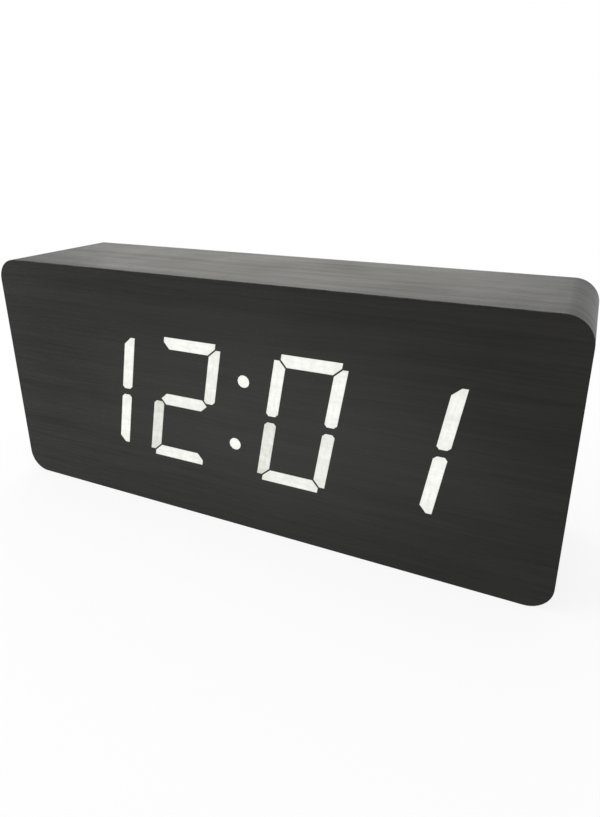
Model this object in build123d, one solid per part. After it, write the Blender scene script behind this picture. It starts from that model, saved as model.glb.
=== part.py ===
from build123d import *

import math
import os

# A block-shaped desk clock. A fibreboard case wrapped in wood-look film holds a four-digit light display
# behind its front film. A moulded tray in its back holds the buttons, the power socket and four small cells.
# X runs to the right seen from the front, Y to the back and Z up. The origin is under the case's middle.

# Case, wrapped in film
case_width = 210.0
case_height = 90.0
case_depth = 50.0
case_corner_radius = 8.0
film_thickness = 0.4
film_edge_round = 0.25
film_seam_gap = 0.3
film_seam_from_centre = 60.0
side_wall = 6.0
front_wall = 5.0
cavity_corner_radius = 4.0

# Back board and the blocks that it is screwed to
back_recess = 0.8
board_thickness = 6.0
board_ledge = 3.0
board_clearance = 0.25
board_screw_inset = 8.0
corner_block_size = 12.0
corner_block_length = 14.0
block_gap = 0.05

# Screws: shank and head diameters, lengths and head heights
screw_fit = 0.05
board_screw_shank = 3.0
board_screw_length = 16.0
board_screw_head = 6.0
tray_screw_shank = 2.4
tray_screw_length = 5.6
tray_screw_head = 4.4
small_screw_shank = 2.0
small_screw_head = 3.8
small_screw_head_height = 1.3
small_screw_round_share = 0.33
display_screw_length = 6.0
light_board_screw_length = 6.0
control_screw_length = 6.0
recess_width = 0.7
recess_length_share = 0.7
recess_depth = 0.8
screw_tip_share = 0.5

# Digits, as they are seen from the front
shown_reading = "12:01"
reading_right_of_middle = 0.35
reading_below_middle = 0.2
digit_width_share = 0.16762
digit_pitch_share = 0.23718
slant_share = 0.182
segment_width = 4.3
segment_gap = 0.6
segment_middle_gap = 2.4
segment_tip_cut = 1.8
colon_dot_diameter = 4.4
colon_dot_spacing_share = 0.5075

# Light box behind the front film
diffuser_thickness = 0.3
light_box_side_margin = 4.2
light_box_top_margin = 4.55
light_box_depth = 10.0
light_box_face_thickness = 1.5
light_box_wall = 1.0
light_box_boss_diameter = 4.8
light_box_clearance = 0.4
light_box_flange = 6.0
flange_gap_above = 4.6
flange_gap_beside = 12.93
light_box_flange_thickness = 2.0
light_box_corner_radius = 1.5
flange_screw_inset = 3.0
light_board_inset = 0.5
circuit_board_thickness = 1.6
light_board_screw_inset = 5.5
pilot_depth_past_tip = 1.0
light_length = 2.0
light_width = 1.25
light_height = 0.8
light_place_share = 0.25

# Moulded tray in the back board
tray_width = 112.0
tray_flange_lap = 7.0
tray_plate_thickness = 2.6
tray_wall = 1.8
tray_corner_radius = 3.0
tray_body_corner_radius = 1.5
tray_clearance = 0.5
tray_screw_inset = 3.5

# Cells and their bay
cell_count = 4
cell_diameter = 10.5
cell_length = 44.5
cell_nub_diameter = 3.8
cell_nub_length = 1.0
cell_rim_round = 0.4
cell_pitch = 11.0
cell_side_clearance = 0.25
cell_floor_clearance = 0.1
bay_depth = 12.0
cradle_rib_thickness = 1.6
cradle_rib_height = 3.6
cradle_clearance = 0.15
cradle_place_share = 0.25

# Contacts of the cells
contact_thickness = 0.4
contact_width = 8.0
contact_height = 9.0
contact_wall_gap = 0.02
dimple_diameter = 3.0
dimple_height = 0.8
spring_wire = 0.6
spring_base_radius = 3.1
spring_tip_radius = 2.0
spring_length = 5.0
spring_turns = 3
spring_end_gap = 0.03
tab_width = 2.4
tab_length = 3.0
tab_slot_clearance = 0.15
lead_diameter = 1.2
lead_start_run = 9.0

# Door of the bay
door_thickness = 2.0
door_ledge = 1.2
door_clearance = 0.3
door_corner_radius = 1.0
hinge_pin_diameter = 1.2
hinge_pin_length = 1.4
hinge_pin_clearance = 0.08
hinge_end_gap = 0.15
latch_width = 14.0
latch_height = 8.0
latch_slot = 0.8
latch_nose_reach = 0.2
latch_nose_width = 8.0
latch_nose_thickness = 0.9
strike_depth = 0.8
grip_rib_count = 3
grip_rib_pitch = 1.6
grip_rib_width = 0.6
grip_rib_height = 0.4
grip_rib_share = 0.7
arrow_size = 2.6
mark_depth = 0.3
foam_thickness = 1.1
foam_inset = 5.0

# Control board and what is on it
control_board_width = 48.0
control_board_height = 42.0
control_board_gap = 6.0
control_screw_inset = 3.5
boss_diameter = 5.5
button_pitch = 14.0
button_row_above_middle = 11.0
button_diameter = 8.0
button_proud = 0.8
button_clearance = 0.2
button_flange_diameter = 9.6
button_flange_thickness = 1.0
button_flange_gap = 0.2
button_post_diameter = 3.0
button_edge_round = 0.5
button_travel = 0.5
button_symbol_size = 1.7
switch_size = 6.0
switch_height = 3.5
switch_bore_floor = 0.2
plunger_diameter = 3.4
plunger_clearance = 0.1
plunger_reach = 0.9
plunger_hidden_length = 1.0
socket_row_below_middle = 12.0
socket_width = 7.5
socket_height = 2.6
socket_recess = 0.6
socket_sheet = 0.3
socket_chamfer = 0.8
socket_opening_clearance = 0.4
socket_tongue_width = 5.0
socket_tongue_thickness = 0.6
socket_tongue_recess = 0.8
vent_count = 4
vent_width = 1.2
vent_length = 9.0
vent_pitch = 2.4
sensor_column = 14.0
microphone_hole = 1.5
microphone_diameter = 6.0
microphone_height = 5.0
thermistor_diameter = 2.4
thermistor_reach = 4.0
thermistor_leg = 0.5
buzzer_diameter = 12.0
buzzer_height = 8.5
buzzer_hole = 2.0
buzzer_hole_depth = 1.0
coin_diameter = 20.0
coin_thickness = 3.2
coin_edge_round = 0.3
coin_clearance = 0.05
holder_wall = 1.2
holder_floor = 1.0
holder_lip_share = 0.35
chip_height = 2.2
chip_standoff = 0.2
driver_length = 17.9
driver_width = 7.5
driver_pins = 28
controller_length = 12.8
controller_width = 7.5
controller_pins = 20
clock_chip_length = 5.0
clock_chip_width = 4.0
clock_chip_pins = 8
chip_pin_pitch = 1.27
chip_pin_width = 0.4
chip_pin_reach = 1.3
chip_pin_thickness = 0.25
crystal_diameter = 2.0
crystal_length = 6.0
capacitor_diameter = 5.0
capacitor_height = 7.0
header_length = 12.4
header_width = 5.0
header_height = 6.0
ribbon_pitch = 1.27
ribbon_ways = 8
ribbon_thickness = 0.9
ribbon_end_run = 4.0
ribbon_rise = 9.0
ribbon_seat = 2.0
ribbon_clearance = 0.05

# Places of the parts on the inner side of the control board: shares of its width and height, from its middle
coin_shares = (-0.2, -0.17)
buzzer_shares = (0.25, -0.26)
controller_shares = (-0.13, 0.26)
clock_chip_shares = (0.15, 0.05)
crystal_shares = (-0.35, 0.22)
capacitor_shares = ((0.365, -0.02), (0.365, 0.12))
control_header_shares = (0.21, 0.28)
lead_pad_shares = ((-0.45, 0.15), (-0.45, 0.05))

# Places of the parts on the back of the light board: shares of its width and height, from its middle
driver_shares = (-0.13, 0.0)

# Planes of the case, from the front to the back
middle_height = case_height / 2
front_face = -case_depth / 2
back_face = case_depth / 2
shell_front = front_face + film_thickness
cavity_front = shell_front + front_wall
board_outer = back_face - back_recess
board_inner = board_outer - board_thickness

# Sizes of the case, seen from the front
shell_width = case_width - 2 * film_thickness
shell_height = case_height - 2 * film_thickness
shell_corner_radius = case_corner_radius - film_thickness
cavity_width = shell_width - 2 * side_wall
cavity_height = shell_height - 2 * side_wall
pocket_width = cavity_width + 2 * board_ledge
pocket_height = cavity_height + 2 * board_ledge
pocket_corner_radius = cavity_corner_radius + board_ledge
board_width = pocket_width - 2 * board_clearance
board_height = pocket_height - 2 * board_clearance
board_screw_column = board_width / 2 - board_screw_inset
board_screw_row = board_height / 2 - board_screw_inset

# Light box, which fills the cavity's front, and the digits that fill the light box
light_box_width = cavity_width - 2 * (light_box_flange + flange_gap_beside)
light_box_height = cavity_height - 2 * (light_box_flange + flange_gap_above)
reading_width = light_box_width - 2 * light_box_side_margin
digit_height = light_box_height - 2 * light_box_top_margin
digit_width = reading_width * digit_width_share
digit_pitch = reading_width * digit_pitch_share
digit_pitch_over_colon = reading_width - digit_width - digit_height * slant_share - 2 * digit_pitch
colon_dot_spacing = digit_height * colon_dot_spacing_share
digit_centres = (
    reading_right_of_middle - digit_pitch_over_colon / 2 - digit_pitch,
    reading_right_of_middle - digit_pitch_over_colon / 2,
    reading_right_of_middle + digit_pitch_over_colon / 2,
    reading_right_of_middle + digit_pitch_over_colon / 2 + digit_pitch,
)
light_box_front = shell_front + diffuser_thickness
light_box_back = light_box_front + light_box_depth
light_board_width = light_box_width - 2 * light_board_inset
light_board_height = light_box_height - 2 * light_board_inset
light_board_back = light_box_back + circuit_board_thickness
light_board_screw_height = light_board_height / 2 - light_board_screw_inset
flange_back = cavity_front + light_box_flange_thickness
flange_screw_column = light_box_width / 2 + light_box_flange - flange_screw_inset
flange_screw_row = light_box_height / 2 + light_box_flange - flange_screw_inset

# Tray
plate_inner = board_outer - tray_plate_thickness
door_inner = board_outer - door_thickness
bay_floor = door_inner - bay_depth
bay_outer_floor = bay_floor - tray_wall
bay_length = 2 * (contact_thickness + contact_wall_gap) + dimple_height + cell_length + spring_length
bay_height = (cell_count - 1) * cell_pitch + cell_diameter + 2 * cell_side_clearance
bay_centre = -tray_width / 2 + tray_wall + bay_length / 2
bay_left = bay_centre - bay_length / 2
bay_right = bay_centre + bay_length / 2
tray_height = bay_height + 2 * tray_wall
tray_plate_width = tray_width + 2 * tray_flange_lap
tray_plate_height = tray_height + 2 * tray_flange_lap
tray_screw_column = tray_plate_width / 2 - tray_screw_inset
tray_screw_row = tray_plate_height / 2 - tray_screw_inset
cell_axis = bay_floor + cell_floor_clearance + cell_diameter / 2

# Door and its hinge line
door_width = bay_length + 2 * door_ledge
door_height = bay_height + 2 * door_ledge
door_bottom = middle_height - door_height / 2
door_top = middle_height + door_height / 2
hinge_depth = board_outer - door_thickness / 2
hinge_height = door_bottom + door_thickness / 2

# Control board
control_centre = (bay_right + tray_wall + tray_width / 2) / 2
control_back = plate_inner - control_board_gap
control_front = control_back - circuit_board_thickness
button_row = middle_height + button_row_above_middle
socket_row = middle_height - socket_row_below_middle
switch_top = control_back + switch_height
plunger_top = switch_top + plunger_reach
button_columns = {
    "down": control_centre - button_pitch,
    "set": control_centre,
    "up": control_centre + button_pitch,
}


# Shapes that several pieces use

def slab(outline, y_low, y_high):
    """Carry an outline drawn in X and Z from one depth to another."""
    return extrude(Plane.XZ.offset(-y_high) * outline, y_high - y_low)


def disc(x, z, diameter, y_low, y_high):
    """A round bar along Y."""
    return slab(Pos(x, z) * Circle(diameter / 2), y_low, y_high)


def plate(width, height, radius, y_low, y_high, x=0, z=middle_height):
    """A flat plate with rounded corners, facing front and back."""
    return slab(Pos(x, z) * RectangleRounded(width, height, radius), y_low, y_high)


def block(x_low, x_high, y_low, y_high, z_low, z_high):
    """A plain block between two corners."""
    outline = Rectangle(x_high - x_low, z_high - z_low)
    return slab(Pos((x_low + x_high) / 2, (z_low + z_high) / 2) * outline, y_low, y_high)


def group(shapes):
    """Several separate solids under one name."""
    return Compound(children=[solid for shape in shapes for solid in shape.solids()])


def corners(column, row):
    """The four places at plus and minus a column and a row, about the middle of the case."""
    return [(sx * column, middle_height + sz * row) for sx in (-1, 1) for sz in (-1, 1)]


def cross_recess(head_diameter, y_top):
    """The cross that a screwdriver turns, cut down from the top of a head on the Y axis."""
    length = head_diameter * recess_length_share
    bars = Rectangle(length, recess_width) + Rectangle(recess_width, length)
    return slab(bars, y_top - recess_depth, y_top)


def shank(diameter, length):
    """A screw's shank from the origin to its pointed tip, along -Y."""
    tip = diameter * screw_tip_share
    cone = Cone(bottom_radius=diameter / 2, top_radius=diameter / 2 - tip / 2, height=tip)
    point = Pos(0, -length + tip / 2, 0) * Rot(90, 0, 0) * cone
    return disc(0, 0, diameter, -length + tip, 0) + point


def flat_screw(shank_diameter, length, head_diameter):
    """A countersunk screw with its flat head at the origin, driven along -Y."""
    depth = (head_diameter - shank_diameter) / 2
    cone = Cone(bottom_radius=head_diameter / 2, top_radius=shank_diameter / 2, height=depth)
    head = Pos(0, -depth / 2, 0) * Rot(90, 0, 0) * cone
    return head + shank(shank_diameter, length) - cross_recess(head_diameter, 0)


def flat_screw_hole(shank_diameter, length, head_diameter):
    """The hole for a countersunk screw, wider than it by the screw fit."""
    wide_head = head_diameter + 2 * screw_fit
    wide_shank = shank_diameter + 2 * screw_fit
    depth = (wide_head - wide_shank) / 2
    cone = Cone(bottom_radius=wide_head / 2, top_radius=wide_shank / 2, height=depth)
    return Pos(0, -depth / 2, 0) * Rot(90, 0, 0) * cone + disc(0, 0, wide_shank, -length - screw_fit, 0)


def pan_screw(length):
    """A small screw with a domed head that stands on the origin, driven along -Y."""
    head = disc(0, 0, small_screw_head, 0, small_screw_head_height)
    top_edge = head.edges().sort_by(Axis.Y)[-1]
    head = fillet(top_edge, small_screw_head_height * small_screw_round_share)
    return head + shank(small_screw_shank, length) - cross_recess(small_screw_head, small_screw_head_height)


def small_hole(x, z, y_low, y_high):
    """A hole for a small screw."""
    return disc(x, z, small_screw_shank + 2 * screw_fit, y_low, y_high)


# Segments of a digit

def segment_shapes():
    """Outlines of the seven segments of an upright digit about its own middle, by letter."""
    half = segment_width / 2
    u = (digit_width - segment_width) / 2
    v = (digit_height - segment_width) / 2
    shift = segment_gap / math.sqrt(2)
    nose = segment_gap * math.sqrt(2)
    blunt = segment_middle_gap / 2
    end = u + half - segment_tip_cut - shift
    rise = v + half - segment_tip_cut
    across = [
        (-u + half + shift, v - half),
        (u - half - shift, v - half),
        (end, rise),
        (end, v + half),
        (-end, v + half),
        (-end, rise),
    ]
    upright = [
        (u - half, v - half - shift),
        (u + half - segment_tip_cut, rise - shift),
        (u + half, rise - shift),
        (u + half, half),
        (u + blunt, blunt),
        (u - blunt, blunt),
        (u - half, half),
    ]
    middle = [
        (u - nose, 0),
        (u - nose - half, half),
        (-u + nose + half, half),
        (-u + nose, 0),
        (-u + nose + half, -half),
        (u - nose - half, -half),
    ]
    return {
        "a": across,
        "b": upright,
        "c": [(x, -y) for x, y in upright],
        "d": [(x, -y) for x, y in across],
        "e": [(-x, -y) for x, y in upright],
        "f": [(-x, y) for x, y in upright],
        "g": middle,
    }


lit_segments = {
    "0": "abcdef",
    "1": "bc",
    "2": "abdeg",
    "3": "abcdg",
    "4": "bcfg",
    "5": "acdfg",
    "6": "acdefg",
    "7": "abc",
    "8": "abcdefg",
    "9": "abcdfg",
}
digit_letters = "abcdefg"
shown_digits = shown_reading.replace(":", "")


def leaned(points, centre):
    """Points of an upright digit, leaned over by the slant and moved to its place on the front."""
    middle = middle_height - reading_below_middle
    return [(centre + x + y * slant_share, middle + y) for x, y in points]


def segment_face(letter, centre):
    """One segment of the digit at a place, as a flat outline."""
    return make_face(Polyline(*leaned(segment_shapes()[letter], centre), close=True))


def colon_places():
    """Middles of the two round dots."""
    rise = colon_dot_spacing / 2
    return leaned([(0, rise), (0, -rise)], reading_right_of_middle)


def lit_faces(first, last):
    """Outlines of the segments that are lit in the digits from first up to last."""
    return [
        segment_face(letter, digit_centres[place])
        for place in range(first, last)
        for letter in lit_segments[shown_digits[place]]
    ]


def dot_faces():
    """Outlines of the two dots between the hours and the minutes."""
    return [Pos(x, z) * Circle(colon_dot_diameter / 2) for x, z in colon_places()]


def film_patches(faces):
    """Patches of the front film's thickness, with the given outlines."""
    return group([slab(face, front_face, shell_front) for face in faces])


# Case

def make_case_shell():
    """The fibreboard block with its cavity, the back board's pocket and the light box's window."""
    shell = plate(shell_width, shell_height, shell_corner_radius, shell_front, back_face)
    shell -= plate(cavity_width, cavity_height, cavity_corner_radius, cavity_front, back_face)
    shell -= plate(pocket_width, pocket_height, pocket_corner_radius, board_inner, back_face)
    window_width = light_box_width + 2 * light_box_clearance
    window_height = light_box_height + 2 * light_box_clearance
    window = Pos(0, middle_height) * Rectangle(window_width, window_height)
    shell -= slab(window, shell_front, cavity_front)
    for x, z in flange_screw_places():
        shell -= small_hole(x, z, flange_back - display_screw_length - screw_fit, cavity_front)
    return shell


def make_corner_blocks():
    """Blocks glued into the corners of the cavity, which take the screws of the back board."""
    size = corner_block_size - block_gap
    blocks = []
    for sx in (-1, 1):
        for sz in (-1, 1):
            x = sx * (cavity_width / 2 - block_gap - size / 2)
            z = middle_height + sz * (cavity_height / 2 - block_gap - size / 2)
            outline = Rectangle(size, size)
            outer = outline.vertices().sort_by_distance((sx * size, sz * size, 0))[0]
            outline = Pos(x, z) * chamfer(outer, cavity_corner_radius)
            body = slab(outline, board_inner - corner_block_length, board_inner)
            blocks.append(body)
    drilled = []
    for body, (x, z) in zip(blocks, corners(board_screw_column, board_screw_row)):
        drilled.append(body - Pos(x, board_outer, z) * board_screw_hole())
    return group(drilled)


def board_screw_hole():
    """The hole through the back board into a corner block."""
    return flat_screw_hole(board_screw_shank, board_screw_length, board_screw_head)


def make_side_film():
    """The strip of film round the four sides, whose ends meet under the case."""
    outer = RectangleRounded(case_width, case_height, case_corner_radius)
    inner = RectangleRounded(shell_width, shell_height, shell_corner_radius)
    film = slab(Pos(0, middle_height) * (outer - inner), shell_front, back_face)
    seam_left = film_seam_from_centre - film_seam_gap / 2
    seam_right = film_seam_from_centre + film_seam_gap / 2
    return film - block(seam_left, seam_right, shell_front, back_face, 0, film_thickness)


def make_front_film():
    """The film over the front, open where the lit segments shine through."""
    outline = Pos(0, middle_height) * RectangleRounded(case_width, case_height, case_corner_radius)
    for window in lit_faces(0, len(shown_digits)) + dot_faces():
        outline -= window
    film = slab(outline, front_face, shell_front)
    rim = film.faces().sort_by(Axis.Y)[0].outer_wire().edges()
    return fillet(rim, film_edge_round)


# Light box

def flange_screw_places():
    """Screws at the corners of the light box's flange and in the middle of its long sides."""
    middles = [(0, middle_height + sz * flange_screw_row) for sz in (-1, 1)]
    return corners(flange_screw_column, flange_screw_row) + middles


def light_board_screw_places():
    """Screws between the outer and the inner digits, above and below."""
    column = digit_pitch_over_colon / 2 + digit_pitch / 2
    rows = (light_board_screw_height, -light_board_screw_height)
    return [place for side in (-column, column) for place in leaned([(0, row) for row in rows], side)]


def light_cells():
    """Outlines of the cells: every segment of every digit, and the two dots."""
    segments = [segment_face(letter, centre) for centre in digit_centres for letter in digit_letters]
    return segments + dot_faces()


def make_light_box():
    """The white moulding whose walled cells shape every segment's light, with its flange."""
    centred = Pos(0, middle_height)
    outline = centred * Rectangle(light_box_width, light_box_height)
    inside = centred * Rectangle(light_box_width - 2 * light_box_wall, light_box_height - 2 * light_box_wall)
    flange_width = light_box_width + 2 * light_box_flange
    flange_height = light_box_height + 2 * light_box_flange
    flange = centred * RectangleRounded(flange_width, flange_height, light_box_corner_radius)
    walls = outline - inside
    for cell in light_cells():
        walls += offset(cell, light_box_wall)
    for x, z in light_board_screw_places():
        walls += Pos(x, z) * Circle(light_box_boss_diameter / 2)
    face = outline
    for cell in light_cells():
        face -= cell
        walls -= cell
    box = slab(face, light_box_front, light_box_front + light_box_face_thickness)
    box += slab(walls, light_box_front, light_box_back)
    box += slab(flange - inside, cavity_front, flange_back)
    for x, z in flange_screw_places():
        box -= small_hole(x, z, cavity_front, flange_back)
    pilot_end = light_board_back - light_board_screw_length - pilot_depth_past_tip
    for x, z in light_board_screw_places():
        box -= small_hole(x, z, pilot_end, light_box_back)
    return box


def make_diffuser():
    """The milky sheet between the light box and the front film."""
    outline = Pos(0, middle_height) * Rectangle(light_box_width, light_box_height)
    return slab(outline, shell_front, light_box_front)


def make_light_board():
    """The circuit board behind the light box."""
    outline = Pos(0, middle_height) * Rectangle(light_board_width, light_board_height)
    board = slab(outline, light_box_back, light_board_back)
    for x, z in light_board_screw_places():
        board -= small_hole(x, z, light_box_back, light_board_back)
    return board


def make_lights():
    """Two small lamps in every segment's cell and one behind each dot."""
    u = (digit_width - segment_width) / 2
    v = (digit_height - segment_width) / 2
    middles = {"a": (0, v), "b": (u, v / 2), "c": (u, -v / 2), "d": (0, -v)}
    middles |= {"e": (-u, -v / 2), "f": (-u, v / 2), "g": (0, 0)}
    places = list(colon_places())
    for centre in digit_centres:
        for letter, (x, y) in middles.items():
            along = 2 * u * light_place_share if letter in "adg" else v * light_place_share
            step = (along, 0) if letter in "adg" else (0, along)
            pair = [(x - step[0], y - step[1]), (x + step[0], y + step[1])]
            places += leaned(pair, centre)
    lamp = Rectangle(light_length, light_width)
    return group([slab(Pos(x, z) * lamp, light_box_back - light_height, light_box_back) for x, z in places])


# Chips and headers

def chip_body(length, width, x, z, y_board, side):
    """The moulded body of a chip on a board's face, which looks along Y to the given side."""
    near = y_board + side * chip_standoff
    far = near + side * chip_height
    return slab(Pos(x, z) * Rectangle(length, width), min(near, far), max(near, far))


def chip_leads(length, width, pins, x, z, y_board, side):
    """The bent legs along both long sides of a chip."""
    legs = []
    per_side = pins // 2
    first = x - (per_side - 1) * chip_pin_pitch / 2
    top = y_board + side * (chip_standoff + chip_height / 2)
    for index in range(per_side):
        centre = first + index * chip_pin_pitch
        for direction in (-1, 1):
            edge = z + direction * width / 2
            foot_end = edge + direction * chip_pin_reach
            knee = edge + direction * chip_pin_reach / 2
            outline = Polyline(
                (top, edge),
                (top, knee),
                (y_board + side * chip_pin_thickness, knee),
                (y_board + side * chip_pin_thickness, foot_end),
                (y_board, foot_end),
                (y_board, knee - direction * chip_pin_thickness),
                (top - side * chip_pin_thickness, knee - direction * chip_pin_thickness),
                (top - side * chip_pin_thickness, edge),
                close=True,
            )
            legs.append(side_profile(make_face(outline), centre - chip_pin_width / 2, chip_pin_width))
    return legs


def side_profile(face, x_low, width):
    """Carry a profile drawn in Y and Z along X."""
    turned = Plane(origin=(x_low, 0, 0), x_dir=(0, 1, 0), z_dir=(1, 0, 0)) * face
    return extrude(turned, width)


def header(x, z, y_board, side):
    """A plug housing on a board, open on the side where the ribbon goes in."""
    far = y_board + side * header_height
    low, high = min(y_board, far), max(y_board, far)
    body = slab(Pos(x, z) * Rectangle(header_length, header_width), low, high)
    mouth = far - side * ribbon_seat
    low, high = min(mouth, far), max(mouth, far)
    slot_length = ribbon_ways * ribbon_pitch + 2 * ribbon_clearance
    slot_width = ribbon_thickness + 2 * ribbon_clearance
    return body - slab(Pos(x, z) * Rectangle(slot_length, slot_width), low, high)


def on_control_board(shares):
    """A place given by shares of the control board, in the clock's frame."""
    across, up = shares
    return control_centre + across * control_board_width, middle_height + up * control_board_height


def on_light_board(shares):
    """A place given by shares of the light board, in the clock's frame."""
    across, up = shares
    return across * light_board_width, middle_height + up * light_board_height


def header_column():
    """Both plug housings and the ribbon cable between them stand on one line, seen from the front."""
    return on_control_board(control_header_shares)[0]


def make_driver_chip():
    """The chip that feeds the lamps, on the back of the light board."""
    x, z = on_light_board(driver_shares)
    return chip_body(driver_length, driver_width, x, z, light_board_back, 1)


def make_controller_chip():
    """The microcontroller on the inner side of the control board."""
    x, z = on_control_board(controller_shares)
    return chip_body(controller_length, controller_width, x, z, control_front, -1)


def make_clock_chip():
    """The timekeeping chip on the inner side of the control board."""
    x, z = on_control_board(clock_chip_shares)
    return chip_body(clock_chip_length, clock_chip_width, x, z, control_front, -1)


def make_chip_leads():
    """The legs of all three chips."""
    x, z = on_light_board(driver_shares)
    legs = chip_leads(driver_length, driver_width, driver_pins, x, z, light_board_back, 1)
    x, z = on_control_board(controller_shares)
    legs += chip_leads(controller_length, controller_width, controller_pins, x, z, control_front, -1)
    x, z = on_control_board(clock_chip_shares)
    legs += chip_leads(clock_chip_length, clock_chip_width, clock_chip_pins, x, z, control_front, -1)
    return group(legs)


def light_header_height():
    """The ribbon leaves the light board a little lower than it reaches the control board."""
    return on_control_board(control_header_shares)[1] - ribbon_rise


def make_light_header():
    """The plug housing on the light board."""
    return header(header_column(), light_header_height(), light_board_back, 1)


def make_control_header():
    """The plug housing on the control board."""
    x, z = on_control_board(control_header_shares)
    return header(x, z, control_front, -1)


def corner_radii(points, share=0.45):
    """As large a radius at each inner point as its two runs allow."""
    radii = []
    for before, here, after in zip(points, points[1:], points[2:]):
        run_in, run_out = Vector(*here) - Vector(*before), Vector(*after) - Vector(*here)
        half_turn = math.radians(run_in.get_angle(run_out)) / 2
        radii.append(share * min(run_in.length, run_out.length) / math.tan(half_turn))
    return radii


def make_ribbon():
    """The flat cable from the light board's header to the control board's."""
    y_start = light_board_back + header_height - ribbon_seat
    y_end = control_front - header_height + ribbon_seat
    x, z_end = on_control_board(control_header_shares)
    z_start = light_header_height()
    run = ribbon_end_run + ribbon_seat
    points = [
        (x, y_start, z_start),
        (x, y_start + run, z_start),
        (x, y_end - run, z_end),
        (x, y_end, z_end),
    ]
    path = FilletPolyline(*points, radius=corner_radii(points))
    section = Rectangle(ribbon_ways * ribbon_pitch, ribbon_thickness)
    return sweep(Plane(origin=points[0], x_dir=(1, 0, 0), z_dir=(0, 1, 0)) * section, path=path)


# Back board

def make_back_board():
    """The fibreboard panel that closes the case, cut out and rebated for the tray."""
    board = plate(board_width, board_height, pocket_corner_radius - board_clearance, board_inner, board_outer)
    opening_width = tray_width + 2 * tray_clearance
    opening_height = tray_height + 2 * tray_clearance
    opening_radius = tray_body_corner_radius + tray_clearance
    board -= plate(opening_width, opening_height, opening_radius, board_inner, board_outer)
    rebate_width = tray_plate_width + 2 * board_clearance
    rebate_height = tray_plate_height + 2 * board_clearance
    rebate_radius = tray_corner_radius + board_clearance
    board -= plate(rebate_width, rebate_height, rebate_radius, plate_inner, board_outer)
    for x, z in corners(board_screw_column, board_screw_row):
        board -= Pos(x, board_outer, z) * board_screw_hole()
    for x, z in corners(tray_screw_column, tray_screw_row):
        board -= Pos(x, board_outer, z) * tray_screw_hole()
    return board


def make_board_screws():
    """The four long screws at the corners of the back board."""
    one = flat_screw(board_screw_shank, board_screw_length, board_screw_head)
    return group([Pos(x, board_outer, z) * one for x, z in corners(board_screw_column, board_screw_row)])


def tray_screw_hole():
    """The hole through the tray's flange into the back board."""
    return flat_screw_hole(tray_screw_shank, tray_screw_length, tray_screw_head)


def make_tray_screws():
    """The four screws through the tray's flange."""
    one = flat_screw(tray_screw_shank, tray_screw_length, tray_screw_head)
    return group([Pos(x, board_outer, z) * one for x, z in corners(tray_screw_column, tray_screw_row)])


# Tray

def cell_rows():
    """Heights of the cells, from the lowest up."""
    first = middle_height - (cell_count - 1) * cell_pitch / 2
    return [first + row * cell_pitch for row in range(cell_count)]


def nub_side(row):
    """Which end a cell's nub points to: the cells lie head to tail."""
    return 1 if row % 2 == 0 else -1


def control_screw_places():
    """The four screws that hold the control board."""
    column = control_board_width / 2 - control_screw_inset
    row = control_board_height / 2 - control_screw_inset
    return [(control_centre + x, z) for x, z in corners(column, row)]


def make_tray():
    """The moulded tray: its flange plate, the bay for the cells, the cradles, bosses and openings."""
    tray = plate(tray_plate_width, tray_plate_height, tray_corner_radius, plate_inner, board_outer)
    box_length = bay_length + 2 * tray_wall
    box_radius = tray_body_corner_radius
    tray += plate(box_length, tray_height, box_radius, bay_outer_floor, plate_inner, x=bay_centre)
    tray -= slab(Pos(bay_centre, middle_height) * Rectangle(bay_length, bay_height), bay_floor, board_outer)
    tray += cradle_ribs()
    doorway_width = door_width + 2 * door_clearance
    doorway_height = door_height + 2 * door_clearance
    doorway_radius = door_corner_radius + door_clearance
    tray -= plate(doorway_width, doorway_height, doorway_radius, door_inner, board_outer, x=bay_centre)
    tray -= hinge_trough()
    tray -= hinge_sockets() + latch_strike() + tab_slots()
    for x, z in control_screw_places():
        tray += disc(x, z, boss_diameter, control_back, plate_inner)
        tray -= small_hole(x, z, control_back, control_front + control_screw_length + screw_fit)
    for x in button_columns.values():
        tray -= disc(x, button_row, button_diameter + 2 * button_clearance, plate_inner, board_outer)
    tray -= socket_opening() + vents()
    for x, z in corners(tray_screw_column, tray_screw_row):
        tray -= Pos(x, board_outer, z) * tray_screw_hole()
    return tray


def cradle_ribs():
    """Two ribs across the bay's floor with a round notch for each cell."""
    ribs = []
    for share in (-cradle_place_share, cradle_place_share):
        x = bay_centre + share * cell_length
        rib = block(
            x - cradle_rib_thickness / 2,
            x + cradle_rib_thickness / 2,
            bay_floor,
            bay_floor + cradle_rib_height,
            middle_height - bay_height / 2,
            middle_height + bay_height / 2,
        )
        for z in cell_rows():
            notch = Cylinder(cell_diameter / 2 + cradle_clearance, 2 * cradle_rib_thickness)
            rib -= Pos(x, cell_axis, z) * Rot(0, 90, 0) * notch
        ribs.append(rib)
    return ribs[0] + ribs[1]


def hinge_trough():
    """The doorway's foot, square at its ends so that the open door clears it."""
    return block(
        bay_centre - door_width / 2 - door_clearance,
        bay_centre + door_width / 2 + door_clearance,
        door_inner,
        board_outer,
        door_bottom - door_clearance,
        hinge_height,
    )


def hinge_sockets():
    """The round blind holes at both ends of the door's hinge line."""
    reach = hinge_pin_length + hinge_end_gap
    half_length = door_width / 2 + reach
    bar = Cylinder(hinge_pin_diameter / 2 + hinge_pin_clearance, 2 * half_length)
    return Pos(bay_centre, hinge_depth, hinge_height) * Rot(0, 90, 0) * bar


def latch_strike():
    """The pocket behind the tray's edge into which the latch's nose springs."""
    low = door_top + door_clearance
    return block(
        bay_centre - latch_nose_width / 2 - door_clearance,
        bay_centre + latch_nose_width / 2 + door_clearance,
        door_inner,
        door_inner + latch_nose_thickness + door_clearance,
        low,
        low + strike_depth,
    )


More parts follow.
